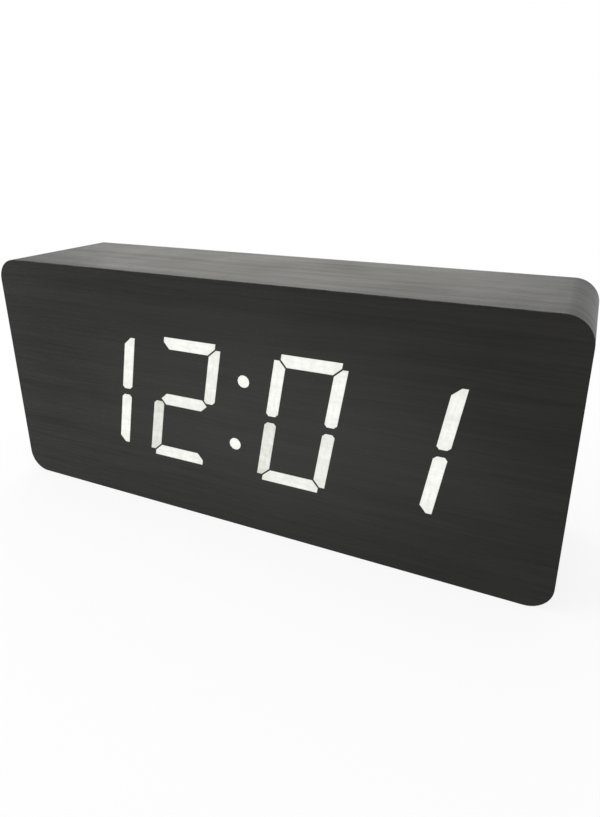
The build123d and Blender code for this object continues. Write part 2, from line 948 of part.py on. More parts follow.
def tab_slots():
    """The slots in the bay's floor for the solder tabs of the two end contacts."""
    width = tab_width + 2 * tab_slot_clearance
    x_low = contact_face(1) - tab_slot_clearance
    slots = [
        block(x_low, bay_right, bay_outer_floor, bay_floor, z - width / 2, z + width / 2) for z in end_rows()
    ]
    return slots[0] + slots[1]


def socket_outline(extra):
    """The power socket's outline, wide at the top and narrow at the bottom, grown by a little all round."""
    half_width = socket_width / 2 + extra
    half_height = socket_height / 2 + extra
    points = [
        (-half_width, half_height),
        (-half_width, -half_height + socket_chamfer),
        (-half_width + socket_chamfer, -half_height),
        (half_width - socket_chamfer, -half_height),
        (half_width, -half_height + socket_chamfer),
        (half_width, half_height),
    ]
    return Pos(control_centre, socket_row) * make_face(Polyline(*points, close=True))


def socket_opening():
    """The opening in the tray for the power socket."""
    return slab(socket_outline(socket_opening_clearance), plate_inner, board_outer)


def vents():
    """The slots beside the thermometer and the hole in front of the microphone."""
    column = control_centre + sensor_column
    first = column - (vent_count - 1) * vent_pitch / 2
    cut = disc(control_centre - sensor_column, socket_row, microphone_hole, plate_inner, board_outer)
    for index in range(vent_count):
        slot = Rot(0, 0, 90) * SlotOverall(vent_length, vent_width)
        cut += slab(Pos(first + index * vent_pitch, socket_row) * slot, plate_inner, board_outer)
    return cut


# Door of the bay

def make_door():
    """The door with its rounded hinge edge, two hinge pins, the spring latch, grip ribs and an arrow."""
    door = plate(door_width, door_height, door_corner_radius, door_inner, board_outer, x=bay_centre)
    hinge_strip = block(
        bay_centre - door_width / 2,
        bay_centre + door_width / 2,
        door_inner,
        board_outer,
        door_bottom,
        hinge_height,
    )
    barrel = Cylinder(door_thickness / 2, door_width)
    pins = Cylinder(hinge_pin_diameter / 2, door_width + 2 * hinge_pin_length)
    on_hinge = Pos(bay_centre, hinge_depth, hinge_height) * Rot(0, 90, 0)
    door = door - hinge_strip + on_hinge * barrel + on_hinge * pins
    door -= latch_slots()
    door += latch_nose() + grip_ribs()
    arrow = RegularPolygon(arrow_size, 3, rotation=90)
    arrow_height = door_top - latch_height - 2 * arrow_size
    return door - slab(Pos(bay_centre, arrow_height) * arrow, board_outer - mark_depth, board_outer)


def latch_slots():
    """Slots on both sides of the latch, which leave it hanging from its lower end."""
    cut = None
    for side in (-1, 1):
        x = bay_centre + side * (latch_width + latch_slot) / 2
        slot = block(
            x - latch_slot / 2,
            x + latch_slot / 2,
            door_inner,
            board_outer,
            door_top - latch_height,
            door_top,
        )
        cut = slot if cut is None else cut + slot
    return cut


def latch_nose():
    """The nose on the latch's upper edge, drawn pressed in, as it is while the door opens."""
    return block(
        bay_centre - latch_nose_width / 2,
        bay_centre + latch_nose_width / 2,
        door_inner,
        door_inner + latch_nose_thickness,
        door_top - latch_nose_thickness,
        door_top + latch_nose_reach,
    )


def grip_ribs():
    """Low ribs across the latch for a fingertip."""
    length = latch_width * grip_rib_share
    ribs = None
    for index in range(grip_rib_count):
        z = door_top - grip_rib_pitch * (index + 1)
        rib = block(
            bay_centre - length / 2,
            bay_centre + length / 2,
            board_outer - mark_depth,
            board_outer + grip_rib_height,
            z - grip_rib_width / 2,
            z + grip_rib_width / 2,
        )
        ribs = rib if ribs is None else ribs + rib
    return ribs


def make_door_foam():
    """The foam pad inside the door that keeps the cells from rattling."""
    outline = Rectangle(cell_length - 2 * foam_inset, bay_height - 2 * foam_inset)
    return slab(Pos(bay_centre, middle_height) * outline, door_inner - foam_thickness, door_inner)


# Cells and contacts

def end_rows():
    """The two rows whose contacts at the right end feed the leads."""
    rows = cell_rows()
    return rows[0], rows[-1]


def cell_ends(row):
    """Where a cell's flat end and its nub's tip lie along X."""
    side = nub_side(row)
    tip = contact_face(side) - side * dimple_height
    return tip - side * cell_length, tip


def along_x(radius, x_from, x_to, z):
    """A round bar along X on a cell's axis."""
    bar = Cylinder(radius, abs(x_to - x_from))
    return Pos((x_from + x_to) / 2, cell_axis, z) * Rot(0, 90, 0) * bar


def make_cell_jackets():
    """The wrapped bodies of the cells."""
    jackets = []
    for row, z in enumerate(cell_rows()):
        flat_end, tip = cell_ends(row)
        shoulder = tip - nub_side(row) * cell_nub_length
        body = along_x(cell_diameter / 2, flat_end, shoulder, z)
        rims = body.edges().filter_by(GeomType.CIRCLE)
        jackets.append(fillet(rims, cell_rim_round))
    return group(jackets)


def make_cell_nubs():
    """The raised positive ends of the cells."""
    nubs = []
    for row, z in enumerate(cell_rows()):
        tip = cell_ends(row)[1]
        nubs.append(along_x(cell_nub_diameter / 2, tip - nub_side(row) * cell_nub_length, tip, z))
    return group(nubs)


def contact_face(side):
    """Where the free face of the contacts at one end of the bay lies along X."""
    return bay_centre + side * (bay_length / 2 - contact_wall_gap - contact_thickness)


def contact_plate(side, z_low, z_high):
    """A flat contact that stands against one end wall of the bay."""
    inner = contact_face(side)
    outer = inner + side * contact_thickness
    y_low = cell_axis - contact_height / 2
    return block(min(inner, outer), max(inner, outer), y_low, y_low + contact_height, z_low, z_high)


def dimple(side, z):
    """The pressed dimple that meets a cell's nub."""
    base = contact_face(side)
    return along_x(dimple_diameter / 2, base, base - side * dimple_height, z)


def make_bridge_contacts():
    """The contacts that join one cell to the next: two at the left end, one at the right."""
    rows = cell_rows()
    reach = contact_width / 2
    bridges = []
    for side, low, high in ((-1, 0, 1), (-1, 2, 3), (1, 1, 2)):
        bridge = contact_plate(side, rows[low] - reach, rows[high] + reach)
        for row in (low, high):
            if nub_side(row) == side:
                bridge += dimple(side, rows[row])
        bridges.append(bridge)
    return group(bridges)


def make_end_contacts():
    """The two single contacts at the right end, with solder tabs through the bay's floor."""
    contacts = []
    for row, z in ((0, end_rows()[0]), (cell_count - 1, end_rows()[1])):
        contact = contact_plate(1, z - contact_width / 2, z + contact_width / 2)
        contact += block(
            contact_face(1),
            contact_face(1) + contact_thickness,
            bay_outer_floor - tab_length,
            cell_axis,
            z - tab_width / 2,
            z + tab_width / 2,
        )
        if nub_side(row) > 0:
            contact += dimple(1, z)
        contacts.append(contact)
    return group(contacts)


def biarc(start, start_direction, end, end_direction):
    """Two arcs that leave one point and reach another in the given directions."""
    between = end - start
    total = start_direction + end_direction
    spread = 2 * (1 - start_direction.dot(end_direction))
    along = between.dot(total)
    reach = (-along + math.sqrt(along * along + spread * between.dot(between))) / spread
    joint = (start + start_direction * reach + end - end_direction * reach) * 0.5
    first = Edge.make_tangent_arc(start, start_direction, joint)
    second = Edge.make_tangent_arc(end, end_direction * -1, joint)
    return [first, second]


def coil_point(turn):
    """A point of the tapered coil at some number of turns from its base, about the X axis."""
    share = turn / spring_turns
    radius = spring_base_radius + (spring_tip_radius - spring_base_radius) * share
    rise = spring_wire / 2 + spring_end_gap + (spring_length - spring_wire - 2 * spring_end_gap) * share
    angle = 2 * math.pi * turn
    return Vector(rise, radius * math.cos(angle), radius * math.sin(angle))


def coil_direction(turn, step=1e-5):
    """The direction in which the coil runs at some number of turns."""
    return (coil_point(turn + step) - coil_point(turn - step)).normalized()


def coil():
    """One tapered contact spring, whose base is at the origin and which points along X."""
    quarters = 4 * spring_turns
    edges = []
    for quarter in range(quarters):
        turns = (quarter / 4, (quarter + 1) / 4)
        points = [coil_point(turn) for turn in turns]
        directions = [coil_direction(turn) for turn in turns]
        edges += biarc(points[0], directions[0], points[1], directions[1])
    path = Wire(edges)
    profile = Plane(origin=coil_point(0), z_dir=coil_direction(0)) * Circle(spring_wire / 2)
    return sweep(profile, path=path)


def coil_least_gap():
    """The least free gap between one turn of the coil and the next, measured on points."""
    samples = 48
    points = [coil_point(index / samples) for index in range(samples * spring_turns + 1)]
    apart = samples // 2
    return min(
        (points[a] - points[b]).length - spring_wire
        for a in range(len(points))
        for b in range(a + apart, len(points))
    )


def make_contact_springs():
    """The tapered springs that press on the flat ends of the cells."""
    one = coil()
    springs = []
    for row, z in enumerate(cell_rows()):
        side = -nub_side(row)
        turned = Rot(0, 0, 180) * one if side > 0 else one
        springs.append(Pos(contact_face(side), cell_axis, z) * turned)
    return group(springs)


def make_leads():
    """The two wires from the end contacts to the control board."""
    leads = []
    start_x = contact_face(1) + contact_thickness / 2
    start_y = bay_outer_floor - tab_length
    for z, pad in zip(reversed(end_rows()), lead_pad_shares):
        pad_x, pad_z = on_control_board(pad)
        points = [
            (start_x, start_y, z),
            (start_x, start_y - lead_start_run, z),
            (pad_x, start_y - lead_start_run, pad_z),
            (pad_x, control_front, pad_z),
        ]
        path = FilletPolyline(*points, radius=corner_radii(points))
        section = Plane(origin=points[0], z_dir=(0, -1, 0)) * Circle(lead_diameter / 2)
        leads.append(sweep(section, path=path))
    return group(leads)


# Control board

def make_control_board():
    """The circuit board behind the buttons."""
    outline = Rectangle(control_board_width, control_board_height)
    board = slab(Pos(control_centre, middle_height) * outline, control_front, control_back)
    for x, z in control_screw_places():
        board -= small_hole(x, z, control_front, control_back)
    return board


def make_control_screws():
    """The screws that hold the control board to the tray's bosses, driven from inside."""
    one = Rot(180, 0, 0) * pan_screw(control_screw_length)
    return group([Pos(x, control_front, z) * one for x, z in control_screw_places()])


def make_display_screws():
    """The screws through the light box's flange and those through the light board."""
    flange = [Pos(x, flange_back, z) * pan_screw(display_screw_length) for x, z in flange_screw_places()]
    one = pan_screw(light_board_screw_length)
    board = [Pos(x, light_board_back, z) * one for x, z in light_board_screw_places()]
    return group(flange + board)


def make_switches():
    """The three push switches, each with a bore for its plunger."""
    switches = []
    bore_bottom = switch_top - plunger_hidden_length - button_travel - switch_bore_floor
    for x in button_columns.values():
        half = switch_size / 2
        body = block(x - half, x + half, control_back, switch_top, button_row - half, button_row + half)
        bore = disc(x, button_row, plunger_diameter + 2 * plunger_clearance, bore_bottom, switch_top)
        switches.append(body - bore)
    return group(switches)


def make_plunger(x):
    """The round plunger of one switch."""
    return disc(x, button_row, plunger_diameter, switch_top - plunger_hidden_length, plunger_top)


def button_symbol(name):
    """The mark on a button: an arrow up, an arrow down or a ring."""
    if name == "set":
        return Circle(button_symbol_size) - Circle(button_symbol_size / 2)
    return RegularPolygon(button_symbol_size, 3, rotation=90 if name == "up" else -90)


def make_button(name):
    """A button with its retaining flange and the post that bears on the plunger."""
    x = button_columns[name]
    top = board_outer + button_proud
    flange_top = plate_inner - button_flange_gap
    flange_bottom = flange_top - button_flange_thickness
    cap = disc(x, button_row, button_diameter, flange_bottom, top)
    cap = fillet(cap.edges().filter_by(GeomType.CIRCLE).sort_by(Axis.Y)[-1], button_edge_round)
    cap += disc(x, button_row, button_flange_diameter, flange_bottom, flange_top)
    cap += disc(x, button_row, button_post_diameter, plunger_top, flange_bottom)
    return cap - slab(Pos(x, button_row) * button_symbol(name), top - mark_depth, top)


def make_socket_shell():
    """The bent sheet shell of the power socket, open towards the back."""
    mouth = board_outer - socket_recess
    shell = slab(socket_outline(0), control_back, mouth)
    return shell - slab(socket_outline(-socket_sheet), control_back + socket_sheet, mouth)


def make_socket_tongue():
    """The tongue inside the power socket that carries its contacts."""
    end = board_outer - socket_recess - socket_tongue_recess
    outline = Rectangle(socket_tongue_width, socket_tongue_thickness)
    return slab(Pos(control_centre, socket_row) * outline, control_back + socket_sheet, end)


def make_microphone():
    """The capsule that listens through the small hole."""
    column = control_centre - sensor_column
    return disc(column, socket_row, microphone_diameter, control_back, control_back + microphone_height)


def make_thermistor():
    """The thermometer's bead on two thin legs, behind the slots."""
    column = control_centre + sensor_column
    bead_middle = control_back + thermistor_reach
    bead = Pos(column, bead_middle, socket_row) * Sphere(thermistor_diameter / 2)
    for side in (-1, 1):
        x = column + side * thermistor_leg
        bead += disc(x, socket_row, thermistor_leg, control_back, bead_middle)
    return bead


def make_buzzer():
    """The round alarm buzzer with its sound hole."""
    x, z = on_control_board(buzzer_shares)
    low = control_front - buzzer_height
    hole = disc(x, z, buzzer_hole, low, low + buzzer_hole_depth)
    return disc(x, z, buzzer_diameter, low, control_front) - hole


def make_coin_holder():
    """The round cup that holds the coin cell, with a lip over part of its rim."""
    x, z = on_control_board(coin_shares)
    cup_diameter = coin_diameter + 2 * (holder_wall + coin_clearance)
    floor = control_front - holder_floor
    low = floor - coin_thickness - coin_clearance - holder_wall
    cup = disc(x, z, cup_diameter, low, control_front)
    cup -= disc(x, z, coin_diameter + 2 * coin_clearance, low + holder_wall, floor)
    open_edge = z - coin_diameter * holder_lip_share
    cup -= block(x - cup_diameter, x + cup_diameter, low, low + holder_wall, open_edge, z + cup_diameter)
    return cup


def make_coin_cell():
    """The coin cell that keeps the time when the clock has no other power."""
    x, z = on_control_board(coin_shares)
    top = control_front - holder_floor
    coin = disc(x, z, coin_diameter, top - coin_thickness, top)
    return fillet(coin.edges().filter_by(GeomType.CIRCLE), coin_edge_round)


def make_crystal():
    """The timing crystal, a small can that lies on the board."""
    x, z = on_control_board(crystal_shares)
    can = Cylinder(crystal_diameter / 2, crystal_length)
    return Pos(x, control_front - crystal_diameter / 2, z) * can


def make_capacitors():
    """The upright round capacitors."""
    cans = []
    for shares in capacitor_shares:
        x, z = on_control_board(shares)
        cans.append(disc(x, z, capacitor_diameter, control_front - capacitor_height, control_front))
    return group(cans)


def make_parts():
    """Every piece of the clock, by the name of its node."""
    parts = {
        "case_shell": make_case_shell(),
        "corner_blocks": make_corner_blocks(),
        "side_film": make_side_film(),
        "front_film": make_front_film(),
        "lit_hours": film_patches(lit_faces(0, 2)),
        "lit_colon": film_patches(dot_faces()),
        "lit_minutes": film_patches(lit_faces(2, 4)),
        "diffuser_sheet": make_diffuser(),
        "light_box": make_light_box(),
        "light_board": make_light_board(),
        "segment_lamps": make_lights(),
        "driver_chip": make_driver_chip(),
        "light_header": make_light_header(),
        "display_screws": make_display_screws(),
        "back_board": make_back_board(),
        "back_board_screws": make_board_screws(),
        "rear_tray": make_tray(),
        "tray_screws": make_tray_screws(),
        "battery_door": make_door(),
        "door_foam": make_door_foam(),
        "cell_jackets": make_cell_jackets(),
        "cell_nubs": make_cell_nubs(),
        "bridge_contacts": make_bridge_contacts(),
        "end_contacts": make_end_contacts(),
        "contact_springs": make_contact_springs(),
        "battery_leads": make_leads(),
        "control_board": make_control_board(),
        "control_board_screws": make_control_screws(),
        "switch_housings": make_switches(),
        "power_socket_shell": make_socket_shell(),
        "power_socket_tongue": make_socket_tongue(),
        "microphone": make_microphone(),
        "thermistor": make_thermistor(),
        "buzzer": make_buzzer(),
        "coin_cell_holder": make_coin_holder(),
        "coin_cell": make_coin_cell(),
        "controller_chip": make_controller_chip(),
        "clock_chip": make_clock_chip(),
        "chip_leads": make_chip_leads(),
        "timing_crystal": make_crystal(),
        "capacitors": make_capacitors(),
        "control_header": make_control_header(),
        "ribbon_cable": make_ribbon(),
    }
    for name, column in button_columns.items():
        parts[f"{name}_button"] = make_button(name)
        parts[f"{name}_plunger"] = make_plunger(column)
    return parts


def main():
    """Write one file for each piece."""
    os.makedirs("parts", exist_ok=True)
    for name, shape in make_parts().items():
        export_step(shape, f"parts/{name}.step")
    print("least gap between the turns of a contact spring", round(coil_least_gap(), 3))


main()
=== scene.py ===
"""Looks of a block-shaped desk clock: its wood-look film, lit digits, back, battery bay and insides.

Sizes of pieces are in millimetres, and mesh_piece turns them into metres. Sizes of patterns and of the
studio are in metres. X runs to the right seen from the front, Y to the back and Z up, with the origin
under the middle of the case.
"""

import logging
import math
from dataclasses import dataclass, field
from enum import Enum
from typing import Any, Iterable, Sequence

import bpy
import numpy as np
from mathutils import Matrix, Vector


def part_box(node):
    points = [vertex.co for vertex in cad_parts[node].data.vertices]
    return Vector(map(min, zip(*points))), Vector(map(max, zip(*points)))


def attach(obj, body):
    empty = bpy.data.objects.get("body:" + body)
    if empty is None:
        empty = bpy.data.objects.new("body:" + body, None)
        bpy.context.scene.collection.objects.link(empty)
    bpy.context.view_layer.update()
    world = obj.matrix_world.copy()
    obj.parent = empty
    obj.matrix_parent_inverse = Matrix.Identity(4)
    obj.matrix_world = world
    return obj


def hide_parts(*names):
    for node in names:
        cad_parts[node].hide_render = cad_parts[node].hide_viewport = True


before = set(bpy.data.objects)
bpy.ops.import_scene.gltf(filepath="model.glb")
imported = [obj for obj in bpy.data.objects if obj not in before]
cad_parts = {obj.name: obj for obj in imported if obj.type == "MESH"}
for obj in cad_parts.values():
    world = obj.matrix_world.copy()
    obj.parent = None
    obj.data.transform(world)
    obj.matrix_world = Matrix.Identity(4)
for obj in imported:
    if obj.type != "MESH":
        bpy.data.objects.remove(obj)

LOG = logging.getLogger("desk_clock")
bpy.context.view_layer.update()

MM = 0.001
TINY = 1e-6
TURN = 2.0 * math.pi
SHARP_ANGLE = math.radians(32.0)
CASE_CORNER = 8.0
BEVEL_SAMPLES = 4
PLASTIC_IOR = 1.5

Array = np.ndarray
Link = bpy.types.NodeSocket
Colour = tuple[float, float, float]
Triple = tuple[float, float, float]
Pair = tuple[float, float]

ZERO: Triple = (0.0, 0.0, 0.0)
BLACK: Colour = (0.0, 0.0, 0.0)
PURE_WHITE: Colour = (1.0, 1.0, 1.0)


# Bodies, axes and marks

class Body(Enum):
    """The parts of the clock that move on their own."""

    CASE = "case"
    DOOR = "door"
    DOWN_KEY = "down_key"
    SET_KEY = "set_key"
    UP_KEY = "up_key"


class Axis(Enum):
    """A direction in which a turned piece grows, after the two directions across it."""

    RIGHT = ((0, 1, 0), (0, 0, 1), (1, 0, 0))
    LEFT = ((0, 0, 1), (0, 1, 0), (-1, 0, 0))
    BACKWARDS = ((0, 0, 1), (1, 0, 0), (0, 1, 0))


class ButtonMark(Enum):
    """The sunk mark on a button: how far a triangle's tip is turned from straight up, or a ring."""

    UP = 0.0
    DOWN = 180.0
    RING = None


# Surfaces worked out as arrays

@dataclass
class Surface:
    """A grid of points joined into one closed skin.

    The points lie in rows, each row is a closed loop, and the first and last rows are capped.
    """

    points: Array
    uv: Array | None = None
    marks: dict[str, Array] = field(default_factory=dict)

    def faces(self) -> tuple[Array, list[list[int]]]:
        """Corners of the quads between the rows, and of the two caps, pointing outwards.

        Returns:
            The quads as an array, and the caps as lists. The skin's volume, summed as the triple
            products of its faces' corners, is positive when they point outwards.
        """
        rows, columns = self.points.shape[:2]
        here = np.arange(rows * columns).reshape(rows, columns)
        beside = np.roll(here, -1, axis=1)
        quads = np.stack([here[:-1], beside[:-1], beside[1:], here[1:]], axis=-1).reshape(-1, 4)
        caps = [here[0, ::-1].tolist(), here[-1].tolist()]
        flat = self.points.reshape(-1, 3) - self.points.reshape(-1, 3).mean(0)
        a, b, c, d = (flat[quads[:, corner]] for corner in range(4))
        volume = np.einsum("ij,ij->", a, np.cross(b, c) + np.cross(c, d))
        for cap in caps:
            fan = flat[cap]
            volume += np.einsum("j,ij->", fan[0], np.cross(fan[1:-1], fan[2:]))
        if volume < 0:
            return quads[:, ::-1], [cap[::-1] for cap in caps]
        return quads, caps


def mesh_piece(name: str, surfaces: Sequence[Surface], smooth_angle: float = SHARP_ANGLE) -> bpy.types.Object:
    """Put surfaces into one mesh object at the origin.

    Args:
        name: The piece's name.
        surfaces: Closed skins in millimetres.
        smooth_angle: Edges that turn by more than this stay sharp.

    Returns:
        The new object, smooth-shaded, with its normals weighted by the size of its faces.
    """
    points, faces, uvs = [], [], []
    marks: dict[str, list[Array]] = {}
    start = 0
    for surface in surfaces:
        quads, caps = surface.faces()
        points.append(surface.points.reshape(-1, 3))
        faces += (quads + start).tolist() + [[corner + start for corner in cap] for cap in caps]
        if surface.uv is not None:
            uvs.append(surface.uv.reshape(-1, 2))
        for mark, values in surface.marks.items():
            marks.setdefault(mark, []).append(values.reshape(-1))
        start += len(points[-1])
    mesh = bpy.data.meshes.new(name)
    mesh.from_pydata((np.concatenate(points) * MM).tolist(), [], faces)
    if uvs:
        corners = np.zeros(len(mesh.loops), np.int32)
        mesh.loops.foreach_get("vertex_index", corners)
        layer = mesh.uv_layers.new(name="strip")
        layer.data.foreach_set("uv", np.concatenate(uvs)[corners].astype(np.float32).ravel())
    for mark, values in marks.items():
        attribute = mesh.attributes.new(mark, "FLOAT", "POINT")
        attribute.data.foreach_set("value", np.concatenate(values).astype(np.float32))
    mesh.validate()
    mesh.shade_smooth()
    mesh.set_sharp_from_angle(angle=smooth_angle)
    piece = bpy.data.objects.new(name, mesh)
    bpy.context.scene.collection.objects.link(piece)
    piece.modifiers.new("weighted", "WEIGHTED_NORMAL").keep_sharp = True
    return piece


def eased_profile(corners: Sequence[Triple], steps: int = 4) -> Array:
    """Round the corners of a profile.

    Each corner is a point and an ease. The profile leaves its straight line that far before the
    corner, and follows the quadratic curve through the corner's two ends, with the corner as its
    control point, to the same distance after it.

    Args:
        corners: First coordinate, second coordinate and ease of each corner.
        steps: Pieces that a rounded corner is cut into.

    Returns:
        The profile's points, one row each.
    """
    place = np.array([corner[:2] for corner in corners], float)
    points = [place[:1]]
    share = np.linspace(0.0, 1.0, steps + 1)[:, None]
    for index in range(1, len(corners) - 1):
        here, ease = place[index], corners[index][2]
        if ease <= 0:
            points.append(here[None])
            continue
        before, after = place[index - 1] - here, place[index + 1] - here
        first = here + before * min(ease / np.linalg.norm(before), 0.5)
        last = here + after * min(ease / np.linalg.norm(after), 0.5)
        points.append((1 - share) ** 2 * first + 2 * share * (1 - share) * here + share ** 2 * last)
    points.append(place[-1:])
    return np.concatenate(points)


def turned(centre: Sequence[float], axis: Axis, radii: Array, heights: Array, sides: int) -> Surface:
    """A piece turned about an axis, whose radius may differ from one angle to the next.

    A point at some angle and height stands on the axis at that height, moved outwards by the radius
    along the angle's cosine and sine.

    Args:
        centre: Where the axis starts, in millimetres.
        axis: Which way the axis points.
        radii: One radius per row, or one row of radii per height.
        heights: Heights of the rows along the axis, or one row of heights each.
        sides: Points round the axis.

    Returns:
        The closed skin.
    """
    angle = TURN * np.arange(sides) / sides
    across, up, along = (np.array(direction, float) for direction in axis.value)
    radius, height = (np.broadcast_to(rows if rows.ndim == 2 else rows[:, None], (len(rows), sides))
                      for rows in (radii, heights))
    outwards = np.cos(angle)[:, None] * across + np.sin(angle)[:, None] * up
    return Surface(np.array(centre, float) + radius[..., None] * outwards + height[..., None] * along)


def polygon_radius(sides: int, flats: int, inradius: float, tip_angle: float,
                   roundness: float = 18.0) -> Array:
    """Radius of a regular polygon with rounded corners, seen from its middle.

    Every flat side pushes the outline in by its cosine over the inradius. The pushes are summed as a
    power mean, which rounds the corners, and the radius is one over that sum.

    Args:
        sides: Points round the outline.
        flats: The polygon's sides.
        inradius: From the middle to a side.
        tip_angle: Where one corner points, in degrees.
        roundness: The mean's power: the higher it is, the sharper the corners.

    Returns:
        The radius at each point.
    """
    angle = TURN * np.arange(sides) / sides
    flat_angles = math.radians(tip_angle) + TURN * (np.arange(flats) + 0.5) / flats
    push = np.clip(np.cos(angle[:, None] - flat_angles), 0.0, None) / inradius
    return (push ** roundness).sum(1) ** (-1.0 / roundness)


def cross_radius(sides: int, width: float, length: float) -> Array:
    """Radius of a screwdriver's cross, seen from its middle: the shorter of a bar's end and its flank.

    Args:
        sides: Points round the outline.
        width: Width of the cross's bars.
        length: Their length from end to end.

    Returns:
        The radius at each point.
    """
    angle = TURN * (np.arange(sides) + 0.5) / sides
    cosine, sine = np.abs(np.cos(angle)), np.abs(np.sin(angle))
    return np.minimum(width / 2 / np.minimum(cosine, sine), length / 2 / np.maximum(cosine, sine))


def rounded_outline(width: float, height: float, radius: float, steps: int) -> tuple[Array, Array]:
    """Points of a rounded rectangle about its middle.

    The four corners are quarter circles, taken in turn from the lower right one, and the straight
    sides join their ends.

    Args:
        width: Its size along the first coordinate.
        height: Its size along the second coordinate.
        radius: Radius of its corners.
        steps: Pieces that a corner is cut into.

    Returns:
        The points, and the outward direction at each of them.
    """
    quarter = np.linspace(0.0, math.pi / 2, steps + 1)
    angle = (-math.pi / 2 + np.arange(4)[:, None] * math.pi / 2 + quarter).reshape(-1)
    outwards = np.stack([np.cos(angle), np.sin(angle)], axis=-1)
    centres = np.array([(1, -1), (1, 1), (-1, 1), (-1, -1)]) * (width / 2 - radius, height / 2 - radius)
    return np.repeat(centres, steps + 1, axis=0) + radius * outwards, outwards


def tube(path: Array, normals: Array, radius: float, sides: int) -> Surface:
    """A round wire along a path, whose circle turns with the path's normal and its cross product.

    Args:
        path: Points on the wire's middle line.
        normals: A direction across the path at each point.
        radius: The wire's radius.
        sides: Points round the wire.

    Returns:
        The closed skin.
    """
    along = np.gradient(path, axis=0)
    along /= np.linalg.norm(along, axis=1, keepdims=True)
    across = normals - (normals * along).sum(1, keepdims=True) * along
    across /= np.linalg.norm(across, axis=1, keepdims=True)
    beside = np.cross(along, across)
    angle = TURN * np.arange(sides) / sides
    ring = np.cos(angle)[None, :, None] * across[:, None] + np.sin(angle)[None, :, None] * beside[:, None]
    return Surface(path[:, None] + radius * ring)


# Node trees

